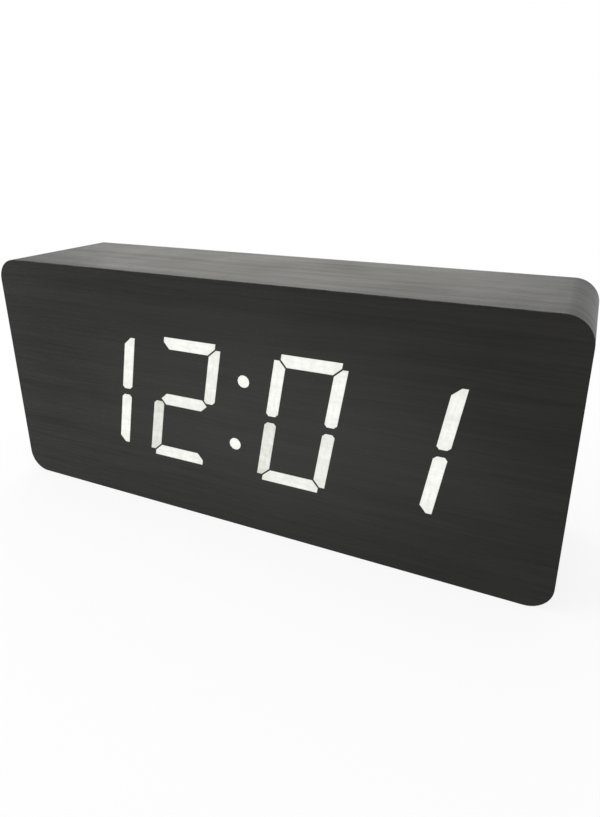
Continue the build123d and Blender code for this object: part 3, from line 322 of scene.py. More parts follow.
class Sheet:
    """A node tree with short calls that add and wire its nodes."""

    def __init__(self, tree: bpy.types.NodeTree) -> None:
        """Start on an empty tree."""
        self.tree = tree
        tree.nodes.clear()

    def add(self, kind: str, inputs: dict[Any, Any] | None = None, **settings: Any) -> bpy.types.Node:
        """Add a node.

        Args:
            kind: Blender's name of the node's type, without its ShaderNode.
            inputs: A value or another node's output for each named or numbered input. A colour is
                given without its alpha.
            settings: The node's own settings.

        Returns:
            The new node.
        """
        node = self.tree.nodes.new(kind if kind.startswith("NodeGroup") else "ShaderNode" + kind)
        for setting, value in settings.items():
            setattr(node, setting, value)
        for key, value in (inputs or {}).items():
            socket = node.inputs[key]
            if isinstance(value, Link):
                self.tree.links.new(value, socket)
            else:
                socket.default_value = (*value, 1.0) if socket.type == "RGBA" else value
        return node

    def math(self, operation: str, first: Any, second: Any = 0.0) -> Link:
        """The result of one sum on numbers."""
        return self.add("Math", {0: first, 1: second}, operation=operation).outputs[0]

    def plus(self, first: Any, second: Any) -> Link:
        """Two numbers added."""
        return self.math("ADD", first, second)

    def minus(self, first: Any, second: Any) -> Link:
        """The second number taken from the first."""
        return self.math("SUBTRACT", first, second)

    def times(self, first: Any, second: Any) -> Link:
        """Two numbers multiplied."""
        return self.math("MULTIPLY", first, second)

    def vector(self, operation: str, first: Any, second: Any = ZERO, output: str = "Vector") -> Link:
        """The result of one sum on places, or with output Value the number that it gives."""
        return self.add("VectorMath", {0: first, 1: second}, operation=operation).outputs[output]

    def noise(self, place: Link, scale: Any, detail: float = 3.0, roughness: float = 0.55,
              distortion: float = 0.0) -> Link:
        """Soft noise from 0 to 1.

        Args:
            place: Where it is read.
            scale: Its cells in a metre, or in a metre along each coordinate.
            detail: How many finer layers it has.
            roughness: How strong those are.
            distortion: How far it is bent by itself.

        Returns:
            The noise.
        """
        if isinstance(scale, tuple):
            place, scale = self.vector("MULTIPLY", place, scale), 1.0
        inputs = {"Vector": place, "Scale": scale, "Detail": detail, "Roughness": roughness,
                  "Distortion": distortion}
        return self.add("TexNoise", inputs).outputs["Fac"]

    def ramp(self, value: Link, limits: Pair, to_low: float = 0.0, to_high: float = 1.0) -> Link:
        """A value between two limits, eased to another pair of limits.

        Args:
            value: The value.
            limits: Where the ease starts and where it ends.
            to_low: What it gives at the first limit and before it.
            to_high: What it gives at the second limit and past it.

        Returns:
            The eased value.
        """
        inputs = {"Value": value, "From Min": limits[0], "From Max": limits[1], "To Min": to_low,
                  "To Max": to_high}
        return self.add("MapRange", inputs, interpolation_type="SMOOTHSTEP").outputs[0]

    def blend(self, share: Any, first: Any, second: Any) -> Link:
        """One colour laid over another. The Mix node's inputs 6 and 7 and its output 2 are colours."""
        return self.add("Mix", {0: share, 6: first, 7: second}, data_type="RGBA").outputs[2]

    def blend_numbers(self, share: Any, first: Any, second: Any) -> Link:
        """A share of the way from one number to another. The Mix node's inputs 2 and 3 are numbers."""
        return self.add("Mix", {0: share, 2: first, 3: second}).outputs[0]

    def place(self) -> Link:
        """The place on the object, in metres."""
        return self.add("TexCoord").outputs["Object"]

    def across_and_up(self) -> tuple[Link, Link]:
        """The place's X and Z."""
        parts = self.add("SeparateXYZ", {0: self.place()}).outputs
        return parts[0], parts[2]

    def front_map(self) -> Link:
        """The place's X and Z as a flat map."""
        across, up = self.across_and_up()
        return self.add("CombineXYZ", {0: across, 1: up}).outputs[0]

    def mark(self, name: str) -> Link:
        """A mark that the piece's points carry."""
        return self.add("Attribute", attribute_name=name).outputs["Fac"]

    def effect(self, tree: bpy.types.NodeTree, place: Link, values: dict[str, Any]) -> Any:
        """The outputs of a shared effect, placed here with its own values."""
        return self.add("Group", {"Vector": place, **values}, node_tree=tree).outputs

    def eased(self, radius: Any) -> Link:
        """The normal with its edges eased by a radius."""
        return self.add("Bevel", {"Radius": radius}, samples=BEVEL_SAMPLES).outputs[0]

    def relief(self, height: Link, depth: float, ease: float = 0.0) -> Link:
        """The normal of a relief.

        Args:
            height: The relief's height, about from 0 to 1.
            depth: Its depth in metres.
            ease: How wide edges are eased in the shading, in metres; 0 leaves them.

        Returns:
            The normal.
        """
        inputs: dict[str, Any] = {"Height": height, "Distance": depth, "Strength": 1.0}
        if ease > 0:
            inputs["Normal"] = self.eased(ease)
        return self.add("Bump", inputs).outputs[0]


class GroupSheet(Sheet):
    """The sheet of a shared effect, which reads its pattern at the place that it is given."""

    def __init__(self, name: str, inputs: dict[str, Any], outputs: Sequence[str]) -> None:
        """Start a group.

        Args:
            name: The group's name.
            inputs: A starting value for each input: a number, a place of three or a colour of four.
            outputs: Names of the outputs: Color is a colour, and the others are numbers.
        """
        tree = bpy.data.node_groups.new(name, "ShaderNodeTree")
        super().__init__(tree)
        for label, value in {"Vector": ZERO, **inputs}.items():
            kind = "Float" if isinstance(value, float) else {3: "Vector", 4: "Color"}[len(value)]
            socket = tree.interface.new_socket(name=label, in_out="INPUT", socket_type="NodeSocket" + kind)
            socket.default_value = value
        for label in outputs:
            kind = "Color" if label == "Color" else "Float"
            tree.interface.new_socket(name=label, in_out="OUTPUT", socket_type="NodeSocket" + kind)
        self.given = self.add("NodeGroupInput").outputs
        self.wanted = self.add("NodeGroupOutput").inputs

    def give(self, results: dict[str, Link]) -> bpy.types.NodeTree:
        """Wire the results to the outputs.

        Args:
            results: What each output gives.

        Returns:
            The finished group.
        """
        for label, value in results.items():
            self.tree.links.new(value, self.wanted[label])
        return self.tree


# Effects that several materials share

@dataclass(frozen=True)
class WoodFigure:
    """Printed wood grain: wavy growth bands, fine streaks along them and short sunken pores.

    The grain runs along the first coordinate of the map that the group is given. Its scales are
    cells in a metre along the grain and across it.
    """

    sway: Triple = (7.0, 26.0, 1.0)
    sway_reach: float = 0.009
    bands: Triple = (4.0, 190.0, 1.0)
    streaks: Triple = (26.0, 1100.0, 1.0)
    dashes: Triple = (170.0, 3600.0, 1.0)
    clouds: Triple = (14.0, 22.0, 1.0)
    band_share: float = 0.5
    cloud_share: float = 0.2
    tone_limits: Pair = (0.36, 0.64)
    pore_limits: Pair = (0.60, 0.72)
    pore_colour: Colour = (0.004, 0.004, 0.004)
    pore_shade: float = 0.55
    streak_relief: float = 0.6

    def build(self) -> bpy.types.NodeTree:
        """Wire the group.

        Returns:
            The group, which gives the grain's colour, its tone and its height.
        """
        sheet = GroupSheet("wood figure", {"Dark": (*BLACK, 1.0), "Light": (*BLACK, 1.0), "Pores": 0.5},
                           ("Color", "Tone", "Height"))
        place = sheet.given["Vector"]
        sway = sheet.times(sheet.noise(place, self.sway, detail=2.0), self.sway_reach)
        flow = sheet.vector("ADD", place, sheet.add("CombineXYZ", {1: sway}).outputs[0])
        bands = sheet.noise(flow, self.bands, detail=4.0, roughness=0.6)
        streaks = sheet.noise(flow, self.streaks, roughness=0.7)
        dashes = sheet.noise(flow, self.dashes, detail=1.0)
        clouds = sheet.noise(place, self.clouds, detail=2.0)
        grain = sheet.plus(sheet.times(bands, self.band_share), sheet.times(streaks, 1.0 - self.band_share))
        clouded = sheet.plus(sheet.times(grain, 1.0 - self.cloud_share),
                             sheet.times(clouds, self.cloud_share))
        tone = sheet.ramp(clouded, self.tone_limits)
        pores = sheet.times(sheet.ramp(dashes, self.pore_limits), sheet.given["Pores"])
        colour = sheet.blend(tone, sheet.given["Dark"], sheet.given["Light"])
        colour = sheet.blend(sheet.times(pores, self.pore_shade), colour, self.pore_colour)
        height = sheet.minus(sheet.times(streaks, self.streak_relief), pores)
        return sheet.give({"Color": colour, "Tone": tone, "Height": height})


@dataclass(frozen=True)
class SparkTexture:
    """The fine pitted texture that a spark-worn mould leaves on plastic, with a soft cloud over it."""

    cloud_scale: float = 60.0
    pit_depth: float = 0.5

    def build(self) -> bpy.types.NodeTree:
        """Wire the group.

        Returns:
            The group, which gives the texture's height and the cloud.
        """
        sheet = GroupSheet("spark texture", {"Scale": 1800.0}, ("Height", "Cloud"))
        place, scale = sheet.given["Vector"], sheet.given["Scale"]
        fine = sheet.noise(place, scale, roughness=0.5)
        pits = sheet.add("TexVoronoi", {"Vector": place, "Scale": scale}, feature="SMOOTH_F1")
        height = sheet.plus(fine, sheet.times(pits.outputs["Distance"], self.pit_depth))
        return sheet.give({"Height": height, "Cloud": sheet.noise(place, self.cloud_scale)})


@dataclass(frozen=True)
class Handling:
    """Marks of handling: soft smudges and thin scratches in every direction, from 0 to 1."""

    smudge_limits: Pair = (0.38, 0.66)
    scratch_turn: float = 0.6
    scratch_axis: Triple = (0.2, 1.0, 0.3)
    turned_scratches: Triple = (30.0, 30.0, 2400.0)
    straight_scratches: Triple = (2600.0, 26.0, 26.0)
    scratch_limits: Pair = (0.68, 0.76)

    def build(self) -> bpy.types.NodeTree:
        """Wire the group.

        Returns:
            The group, which gives both marks.
        """
        sheet = GroupSheet("handling marks", {"Scale": 40.0}, ("Smudge", "Scratch"))
        place = sheet.given["Vector"]
        smudge = sheet.noise(place, sheet.given["Scale"], detail=4.0, roughness=0.5, distortion=0.6)
        other_way = {"Vector": place, "Angle": self.scratch_turn, "Axis": self.scratch_axis}
        other_place = sheet.add("VectorRotate", other_way).outputs[0]
        lines = sheet.math("MAXIMUM", sheet.noise(other_place, self.turned_scratches, detail=1.0),
                           sheet.noise(place, self.straight_scratches, detail=1.0))
        return sheet.give({"Smudge": sheet.ramp(smudge, self.smudge_limits),
                           "Scratch": sheet.ramp(lines, self.scratch_limits)})


@dataclass(frozen=True)
class EdgeWear:
    """Where an edge is rubbed: the eased normal turns away from the surface's own one there."""

    turn_limits: Pair = (0.02, 0.20)
    ragged_scale: float = 700.0
    ragged_limits: Pair = (0.35, 0.65)

    def build(self) -> bpy.types.NodeTree:
        """Wire the group.

        Returns:
            The group, which gives 1 where an edge is rubbed.
        """
        sheet = GroupSheet("edge wear", {"Width": 0.0003}, ("Mask",))
        own = sheet.add("NewGeometry").outputs["Normal"]
        agree = sheet.vector("DOT_PRODUCT", sheet.eased(sheet.given["Width"]), own, "Value")
        ragged = sheet.noise(sheet.given["Vector"], self.ragged_scale, detail=4.0, roughness=0.7)
        turned_away = sheet.ramp(sheet.minus(1.0, agree), self.turn_limits)
        return sheet.give({"Mask": sheet.times(turned_away, sheet.ramp(ragged, self.ragged_limits))})


@dataclass(frozen=True)
class EdgeBand:
    """How near a place on a flat rounded rectangle is to its outline, from 0 inside to 1 at the edge.

    The distance to the outline is the length of what the place stands out past the corner's middle,
    less the corner's radius.
    """

    ragged_scale: float = 420.0
    ragged_limits: Pair = (0.30, 0.62)

    def build(self) -> bpy.types.NodeTree:
        """Wire the group.

        Returns:
            The group, which gives the band's mask.
        """
        sheet = GroupSheet("edge band", {"Middle": ZERO, "Inner": ZERO, "Radius": 0.008, "Band": 0.001},
                           ("Mask",))
        place = sheet.given["Vector"]
        centred = sheet.vector("SUBTRACT", place, sheet.given["Middle"])
        folded = sheet.vector("ABSOLUTE", sheet.vector("MULTIPLY", centred, (1.0, 0.0, 1.0)))
        past = sheet.vector("MAXIMUM", sheet.vector("SUBTRACT", folded, sheet.given["Inner"]))
        inside = sheet.minus(sheet.given["Radius"], sheet.vector("LENGTH", past, output="Value"))
        band = sheet.minus(1.0, sheet.math("DIVIDE", inside, sheet.given["Band"]))
        ragged = sheet.noise(place, self.ragged_scale, detail=4.0, roughness=0.7)
        mask = sheet.times(sheet.math("MAXIMUM", band, 0.0), ragged)
        return sheet.give({"Mask": sheet.ramp(mask, self.ragged_limits)})


class Effects:
    """The shared node groups, each built once."""

    def __init__(self) -> None:
        """Build every group."""
        self.wood_figure = WoodFigure().build()
        self.spark_texture = SparkTexture().build()
        self.handling = Handling().build()
        self.edge_band = EdgeBand().build()
        self.edge_wear = EdgeWear().build()


# Finishes

@dataclass(frozen=True)
class Finish:
    """A finish: the name of its material and the record's slot that it belongs to."""

    name: str
    slot: str

    def fill(self, sheet: Sheet, effects: Effects) -> dict[str, Any]:
        """Wire the finish's pattern, and give what the surface shader's inputs take."""
        raise NotImplementedError

    def material(self, effects: Effects) -> bpy.types.Material:
        """The finish as a material.

        Args:
            effects: The shared node groups.

        Returns:
            The material, made the first time that it is asked for.
        """
        known = bpy.data.materials.get(self.name)
        if known is not None:
            return known
        material = bpy.data.materials.new(self.name)
        material.use_nodes = True
        sheet = Sheet(material.node_tree)
        shader = sheet.add("BsdfPrincipled", self.fill(sheet, effects))
        sheet.add("OutputMaterial", {"Surface": shader.outputs[0]})
        return material


@dataclass(frozen=True)
class WoodLookFilm(Finish):
    """Matt dark film printed and embossed as wood, with its grain on a map of its own."""

    dark: Colour = (0.0078, 0.0076, 0.0074)
    light: Colour = (0.0152, 0.0148, 0.0142)
    cut: Colour = (0.0015, 0.0015, 0.0015)
    tint: Colour = (1.0, 0.985, 0.96)
    pores: float = 0.8
    relief_depth: float = 0.000035
    roughness: float = 0.44
    roughness_swing: float = 0.12
    cut_roughness: float = 0.4
    smudge_scale: float = 24.0
    smudge_roughness: float = 0.05
    gloss: float = 0.21
    sheen: float = 0.05
    sheen_roughness: float = 0.35

    def grain_map(self, sheet: Sheet) -> Link:
        """The map that the grain lies on."""
        raise NotImplementedError

    def edges(self, sheet: Sheet, effects: Effects, colour: Link) -> tuple[Link, Link]:
        """Where the film's cut edge shows, and its colour once its edges are worn."""
        raise NotImplementedError

    def fill(self, sheet: Sheet, effects: Effects) -> dict[str, Any]:
        """Grain along the film, darker pores, a cut edge and smudges.

        Args:
            sheet: The material's sheet.
            effects: The shared node groups.

        Returns:
            What the surface shader's inputs take.
        """
        wood = sheet.effect(effects.wood_figure, self.grain_map(sheet), {
            "Dark": self.dark, "Light": self.light, "Pores": self.pores})
        smudge = sheet.effect(effects.handling, sheet.place(), {"Scale": self.smudge_scale})["Smudge"]
        cut, colour = self.edges(sheet, effects, wood["Color"])
        swing = sheet.times(sheet.minus(wood["Tone"], 0.5), self.roughness_swing)
        roughness = sheet.plus(sheet.minus(self.roughness, swing), sheet.times(smudge, self.smudge_roughness))
        return {
            "Base Color": sheet.blend(cut, colour, self.cut),
            "Roughness": sheet.plus(roughness, sheet.times(cut, self.cut_roughness)),
            "IOR": PLASTIC_IOR,
            "Specular IOR Level": self.gloss,
            "Specular Tint": self.tint,
            "Sheen Weight": self.sheen,
            "Sheen Roughness": self.sheen_roughness,
            "Normal": sheet.relief(wood["Height"], self.relief_depth),
        }


@dataclass(frozen=True)
class StripFilm(WoodLookFilm):
    """The film round the sides, on the strip's own map and marks."""

    worn: Colour = (0.050, 0.048, 0.045)
    worn_scale: float = 260.0
    worn_limits: Pair = (0.45, 0.70)

    def grain_map(self, sheet: Sheet) -> Link:
        """The length along the strip and the depth."""
        return sheet.add("UVMap", uv_map="strip").outputs[0]

    def edges(self, sheet: Sheet, effects: Effects, colour: Link) -> tuple[Link, Link]:
        """The strip's cut front edge, and its back edge rubbed paler in ragged spots.

        Args:
            sheet: The material's sheet.
            effects: The shared node groups; not used here.
            colour: The film's printed colour.

        Returns:
            1 where the cut edge shows, and the worn colour.
        """
        ragged = sheet.noise(sheet.place(), self.worn_scale, detail=4.0, roughness=0.7)
        worn = sheet.times(sheet.mark("wear"), sheet.ramp(ragged, self.worn_limits))
        return sheet.mark("front_edge"), sheet.blend(worn, colour, self.worn)


@dataclass(frozen=True)
class FlatFilm(WoodLookFilm):
    """The film on a flat face, whose cut edge is the rounded outline of the node that it covers."""

    node: str = "front_film"
    corner_radius: float = CASE_CORNER * MM
    cut_band: float = 0.0006

    def grain_map(self, sheet: Sheet) -> Link:
        """The face's own plane."""
        return sheet.front_map()

    def edges(self, sheet: Sheet, effects: Effects, colour: Link) -> tuple[Link, Link]:
        """A thin band along the outline, which is taken from the node's box.

        Args:
            sheet: The material's sheet.
            effects: The shared node groups.
            colour: The film's printed colour.

        Returns:
            1 where the cut edge shows, and the colour as it was.
        """
        low, high = (np.array(corner, float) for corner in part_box(self.node))
        inner = (high - low) / 2 - self.corner_radius
        band = sheet.effect(effects.edge_band, sheet.place(), {
            "Middle": tuple((low + high) / 2), "Inner": (inner[0], 0.0, inner[2]),
            "Radius": self.corner_radius, "Band": self.cut_band})
        return band["Mask"], colour


@dataclass(frozen=True)
class FrontFilm(FlatFilm):
    """The front's film, with a faint glow painted round the digits as emission."""

    # painted glow: a faint emission colour on the film, which is no lamp
    painted_glow: Colour = (0.0165, 0.0165, 0.0158)
    painted_glow_middle: Triple = (0.008, 0.0, 0.043)
    painted_glow_reach: Pair = (0.110, 0.060)
    painted_glow_limits: Pair = (0.1, 1.0)

    def fill(self, sheet: Sheet, effects: Effects) -> dict[str, Any]:
        """The film with its painted glow, which falls off over an ellipse.

        Args:
            sheet: The material's sheet.
            effects: The shared node groups.

        Returns:
            What the surface shader's inputs take.
        """
        width, height = self.painted_glow_reach
        centred = sheet.vector("SUBTRACT", sheet.place(), self.painted_glow_middle)
        scaled = sheet.vector("MULTIPLY", centred, (1.0 / width, 0.0, 1.0 / height))
        far = sheet.vector("LENGTH", scaled, output="Value")
        # painted glow: emission brightest in the middle of the front, gone at the ellipse's edge
        painted_glow_colour = sheet.blend(sheet.ramp(far, self.painted_glow_limits, 1.0, 0.0), BLACK, self.painted_glow)
        return super().fill(sheet, effects) | {"Emission Color": painted_glow_colour, "Emission Strength": 1.0}


@dataclass(frozen=True)
class LitFilm(Finish):
    """The film where it is lit from behind by the lamps."""

    bright: Colour = (0.755, 0.755, 0.72)
    dim: Colour = (0.17, 0.20, 0.12)
    unlit: Colour = (0.26, 0.26, 0.25)
    pores: float = 0.4
    grain: float = 0.12
    mottle_scale: float = 520.0
    mottle_limits: Pair = (0.35, 0.65)
    mottle: Pair = (-0.09, 0.05)
    relief_depth: float = 0.00003
    roughness: float = 0.5
    gloss: float = 0.3

    def fill(self, sheet: Sheet, effects: Effects) -> dict[str, Any]:
        """Light that varies with the lamps behind it and with the film's faint grain.

        Args:
            sheet: The material's sheet.
            effects: The shared node groups.

        Returns:
            What the surface shader's inputs take.
        """
        wood = sheet.effect(effects.wood_figure, sheet.front_map(), {"Pores": self.pores})
        mottle = sheet.ramp(sheet.noise(sheet.place(), self.mottle_scale), self.mottle_limits, *self.mottle)
        grain = sheet.times(sheet.minus(wood["Tone"], 0.5), self.grain)
        level = sheet.plus(sheet.mark("glow"), sheet.plus(mottle, grain))
        level = sheet.add("Clamp", {0: level}).outputs[0]
        return {
            "Base Color": self.unlit,
            "Roughness": self.roughness,
            "Specular IOR Level": self.gloss,
            "Emission Color": sheet.blend(level, self.dim, self.bright),
            "Emission Strength": 1.0,
            "Normal": sheet.relief(wood["Height"], self.relief_depth),
        }


@dataclass(frozen=True)
class MouldedPlastic(Finish):
    """Moulded plastic with a fine spark texture, and smudges that change its gloss."""

    colour: Colour = (0.02, 0.02, 0.021)
    shade: Colour = (0.013, 0.013, 0.014)
    roughness: float = 0.48
    texture_scale: float = 1800.0
    relief_depth: float = 0.00003
    handling_scale: float = 70.0
    smudge_gloss: float = 0.10
    scuffs: float = 0.10
    paler: float = 1.6
    lifted: float = 0.02
    ease: float = 0.00015
    worn_edges: float = 0.35
    worn_width: float = 1.6

    def fill(self, sheet: Sheet, effects: Effects) -> dict[str, Any]:
        """Cloudy colour, pitted relief, scuffs and rubbed edges.

        Args:
            sheet: The material's sheet.
            effects: The shared node groups.

        Returns:
            What the surface shader's inputs take.
        """
        place = sheet.place()
        spark = sheet.effect(effects.spark_texture, place, {"Scale": self.texture_scale})
        marks = sheet.effect(effects.handling, place, {"Scale": self.handling_scale})
        wear = sheet.effect(effects.edge_wear, place, {"Width": self.ease * self.worn_width})
        pale = tuple(min(1.0, part * self.paler + self.lifted) for part in self.colour)
        colour = sheet.blend(spark["Cloud"], self.shade, self.colour)
        colour = sheet.blend(sheet.times(marks["Scratch"], self.scuffs), colour, pale)
        colour = sheet.blend(sheet.times(wear["Mask"], self.worn_edges), colour, pale)
        smudged = sheet.times(marks["Smudge"], -self.smudge_gloss)
        return {
            "Base Color": colour,
            "Roughness": sheet.plus(smudged, self.roughness + self.smudge_gloss / 2),
            "IOR": PLASTIC_IOR,
            "Normal": sheet.relief(spark["Height"], self.relief_depth, self.ease),
        }


@dataclass(frozen=True)
class Fibreboard(Finish):
    """Pressed wood fibre, stained dark: cut edges show short pale fibres."""

    colour: Colour = (0.031, 0.028, 0.025)
    shade: Colour = (0.015, 0.014, 0.013)
    speck: Colour = (0.095, 0.082, 0.066)
    fibres: Triple = (420.0, 1500.0, 420.0)
    fibre_limits: Pair = (0.34, 0.66)
    speck_scale: float = 2300.0
    speck_limits: Pair = (0.60, 0.74)
    speck_share: float = 0.5
    speck_gloss: float = 0.12
    roughness: float = 0.85
    relief_depth: float = 0.00006
    ease: float = 0.0003

    def fill(self, sheet: Sheet, effects: Effects) -> dict[str, Any]:
        """Fibres in layers, with specks.

        Args:
            sheet: The material's sheet.
            effects: The shared node groups; not used here.

        Returns:
            What the surface shader's inputs take.
        """
        place = sheet.place()
        fibres = sheet.noise(place, self.fibres, detail=5.0, roughness=0.7)
        specks = sheet.ramp(sheet.noise(place, self.speck_scale, detail=2.0), self.speck_limits)
        colour = sheet.blend(sheet.ramp(fibres, self.fibre_limits), self.shade, self.colour)
        return {
            "Base Color": sheet.blend(sheet.times(specks, self.speck_share), colour, self.speck),
            "Roughness": sheet.minus(self.roughness, sheet.times(specks, self.speck_gloss)),
            "Normal": sheet.relief(fibres, self.relief_depth, self.ease),
        }


@dataclass(frozen=True)
class Metal(Finish):
    """Plated or drawn metal with fine streaks and clouded gloss."""

    colour: Colour = (0.68, 0.68, 0.66)
    shade: Colour = (0.50, 0.50, 0.49)
    streaks: Triple = (900.0, 900.0, 60.0)
    streak_limits: Pair = (0.3, 0.7)
    relief_depth: float = 0.000008
    roughness: float = 0.26
    smooth_share: float = 0.05
    streak_roughness: float = 0.14
    smudge_scale: float = 150.0
    smudge_roughness: float = 0.12

    def fill(self, sheet: Sheet, effects: Effects) -> dict[str, Any]:
        """Brushed streaks and smudges over full metal.

        Args:
            sheet: The material's sheet.
            effects: The shared node groups.

        Returns:
            What the surface shader's inputs take.
        """
        place = sheet.place()
        streaks = sheet.noise(place, self.streaks)
        smudge = sheet.effect(effects.handling, place, {"Scale": self.smudge_scale})["Smudge"]
        rough = sheet.plus(sheet.times(streaks, self.streak_roughness), self.roughness - self.smooth_share)
        return {
            "Base Color": sheet.blend(sheet.ramp(streaks, self.streak_limits), self.shade, self.colour),
            "Metallic": 1.0,
            "Roughness": sheet.plus(rough, sheet.times(smudge, self.smudge_roughness)),
            "Normal": sheet.relief(streaks, self.relief_depth),
        }


@dataclass(frozen=True)
class BoardMask(Finish):
    """A circuit board: solder mask over copper tracks, with tinned pads."""

    mask: Colour = (0.010, 0.085, 0.030)
    track: Colour = (0.022, 0.160, 0.060)
    pad: Colour = (0.62, 0.61, 0.56)
    cells: float = 90.0
    tracks: float = 620.0
    track_limits: Pair = (0.26, 0.30)
    track_relief: float = 0.5
    track_roughness: float = 0.06
    pads: float = 210.0
    pad_scatter: float = 0.75
    pad_limits: Pair = (0.13, 0.16)
    pad_metal: float = 0.9
    roughness: float = 0.30
    relief_depth: float = 0.00004

    def fill(self, sheet: Sheet, effects: Effects) -> dict[str, Any]:
        """Tracks that run one way or the other from cell to cell, and round pads on a wider grid.

        Args:
            sheet: The material's sheet.
            effects: The shared node groups; not used here.

        Returns:
            What the surface shader's inputs take.
        """
        across, up = sheet.across_and_up()
        flat = sheet.front_map()
        cells = sheet.add("TexVoronoi", {"Vector": flat, "Scale": self.cells}, distance="MANHATTAN")
        choice = sheet.add("SeparateColor", {0: cells.outputs["Color"]}).outputs[0]
        runs_up = sheet.math("GREATER_THAN", choice, 0.5)
        chosen = sheet.blend_numbers(runs_up, sheet.times(across, self.tracks), sheet.times(up, self.tracks))
        wave = sheet.math("ABSOLUTE", sheet.minus(sheet.math("FRACT", chosen), 0.5))
        tracks = sheet.ramp(wave, self.track_limits)
        dots = sheet.add("TexVoronoi", {"Vector": flat, "Scale": self.pads, "Randomness": self.pad_scatter})
        pads = sheet.minus(1.0, sheet.ramp(dots.outputs["Distance"], self.pad_limits))
        height = sheet.plus(sheet.times(tracks, self.track_relief), pads)
        return {
            "Base Color": sheet.blend(pads, sheet.blend(tracks, self.mask, self.track), self.pad),
            "Metallic": sheet.times(pads, self.pad_metal),
            "Roughness": sheet.plus(sheet.times(tracks, self.track_roughness), self.roughness),
            "Normal": sheet.relief(height, self.relief_depth),
        }


@dataclass(frozen=True)
class CellJacket(Finish):
    """The shrink-wrapped sleeve of a cell, with its bare steel ends."""

    body: Colour = (0.030, 0.040, 0.055)
    band: Colour = (0.36, 0.37, 0.38)
    steel: Colour = (0.66, 0.65, 0.62)
    scratch: Colour = (0.22, 0.22, 0.22)
    band_limits: Pair = (0.80, 0.803)
    ring_share: float = 0.775
    ring_limits: Pair = (0.006, 0.009)
    handling_scale: float = 90.0
    scratches: float = 0.12
    smudge_roughness: float = 0.14
    roughness: float = 0.24
    ripples: Triple = (60.0, 500.0, 500.0)
    relief_depth: float = 0.00003

    def fill(self, sheet: Sheet, effects: Effects) -> dict[str, Any]:
        """A pale band near the raised end, a thin ring beside it, and steel where the sleeve ends.

        Args:
            sheet: The material's sheet.
            effects: The shared node groups.

        Returns:
            What the surface shader's inputs take.
        """
        place, along, bare = sheet.place(), sheet.mark("along"), sheet.mark("bare")
        from_ring = sheet.math("ABSOLUTE", sheet.minus(along, self.ring_share))
        ring = sheet.minus(1.0, sheet.ramp(from_ring, self.ring_limits))
        pale = sheet.math("MAXIMUM", sheet.ramp(along, self.band_limits), ring)
        marks = sheet.effect(effects.handling, place, {"Scale": self.handling_scale})
        colour = sheet.blend(pale, self.body, self.band)
        colour = sheet.blend(sheet.times(marks["Scratch"], self.scratches), colour, self.scratch)
        ripple = sheet.noise(place, self.ripples, detail=2.0)
        return {
            "Base Color": sheet.blend(bare, colour, self.steel),
            "Metallic": bare,
            "Roughness": sheet.plus(sheet.times(marks["Smudge"], self.smudge_roughness), self.roughness),
            "Normal": sheet.relief(ripple, self.relief_depth),
        }


@dataclass(frozen=True)
class Foam(Finish):
    """Open-celled foam, with painted shade in its pores."""

    colour: Colour = (0.055, 0.055, 0.056)
    # painted shade: the colour that the pores are darkened to
    shade: Colour = (0.012, 0.012, 0.012)
    cells: float = 2600.0
    cell_limits: Pair = (0.10, 0.75)
    cloud_scale: float = 900.0
    cloud_share: float = 0.3
    roughness: float = 0.95
    gloss: float = 0.2
    relief_depth: float = 0.00015

    def fill(self, sheet: Sheet, effects: Effects) -> dict[str, Any]:
        """Dark cells between paler walls: the cells' darkness is painted shade in the pores.

        Args:
            sheet: The material's sheet.
            effects: The shared node groups; not used here.

        Returns:
            What the surface shader's inputs take.
        """
        place = sheet.place()
        cells = sheet.add("TexVoronoi", {"Vector": place, "Scale": self.cells}).outputs["Distance"]
        clouds = sheet.times(sheet.noise(place, self.cloud_scale, detail=4.0), self.cloud_share)
        walls = sheet.plus(sheet.ramp(cells, self.cell_limits, 0.0, 1.0 - self.cloud_share), clouds)
        return {
            # painted shade: the middles of the cells take the shade colour, as if shade fell in the pores
            "Base Color": sheet.blend(walls, self.shade, self.colour),
            "Roughness": self.roughness,
            "Specular IOR Level": self.gloss,
            "Normal": sheet.relief(walls, self.relief_depth),
        }


@dataclass(frozen=True)
class SoftJacket(Finish):
    """The soft jacket of a wire or of a flat cable, with one marked edge if it has a stripe."""

    colour: Colour = (0.5, 0.5, 0.5)
    stripe: Colour = (0.42, 0.02, 0.02)
    stripe_from: float = 1.0
    shade_share: float = 0.7
    texture_scale: float = 900.0
    roughness: float = 0.55
    relief_depth: float = 0.00002

    def fill(self, sheet: Sheet, effects: Effects) -> dict[str, Any]:
        """Slightly clouded colour, with the stripe beyond one place along X.

        Args:
            sheet: The material's sheet.
            effects: The shared node groups.

        Returns:
            What the surface shader's inputs take.
        """
        spark = sheet.effect(effects.spark_texture, sheet.place(), {"Scale": self.texture_scale})
        marked = sheet.math("GREATER_THAN", sheet.across_and_up()[0], self.stripe_from)
        shade = tuple(part * self.shade_share for part in self.colour)
        colour = sheet.blend(spark["Cloud"], shade, self.colour)
        return {
            "Base Color": sheet.blend(marked, colour, self.stripe),
            "Roughness": self.roughness,
            "Normal": sheet.relief(spark["Height"], self.relief_depth),
        }


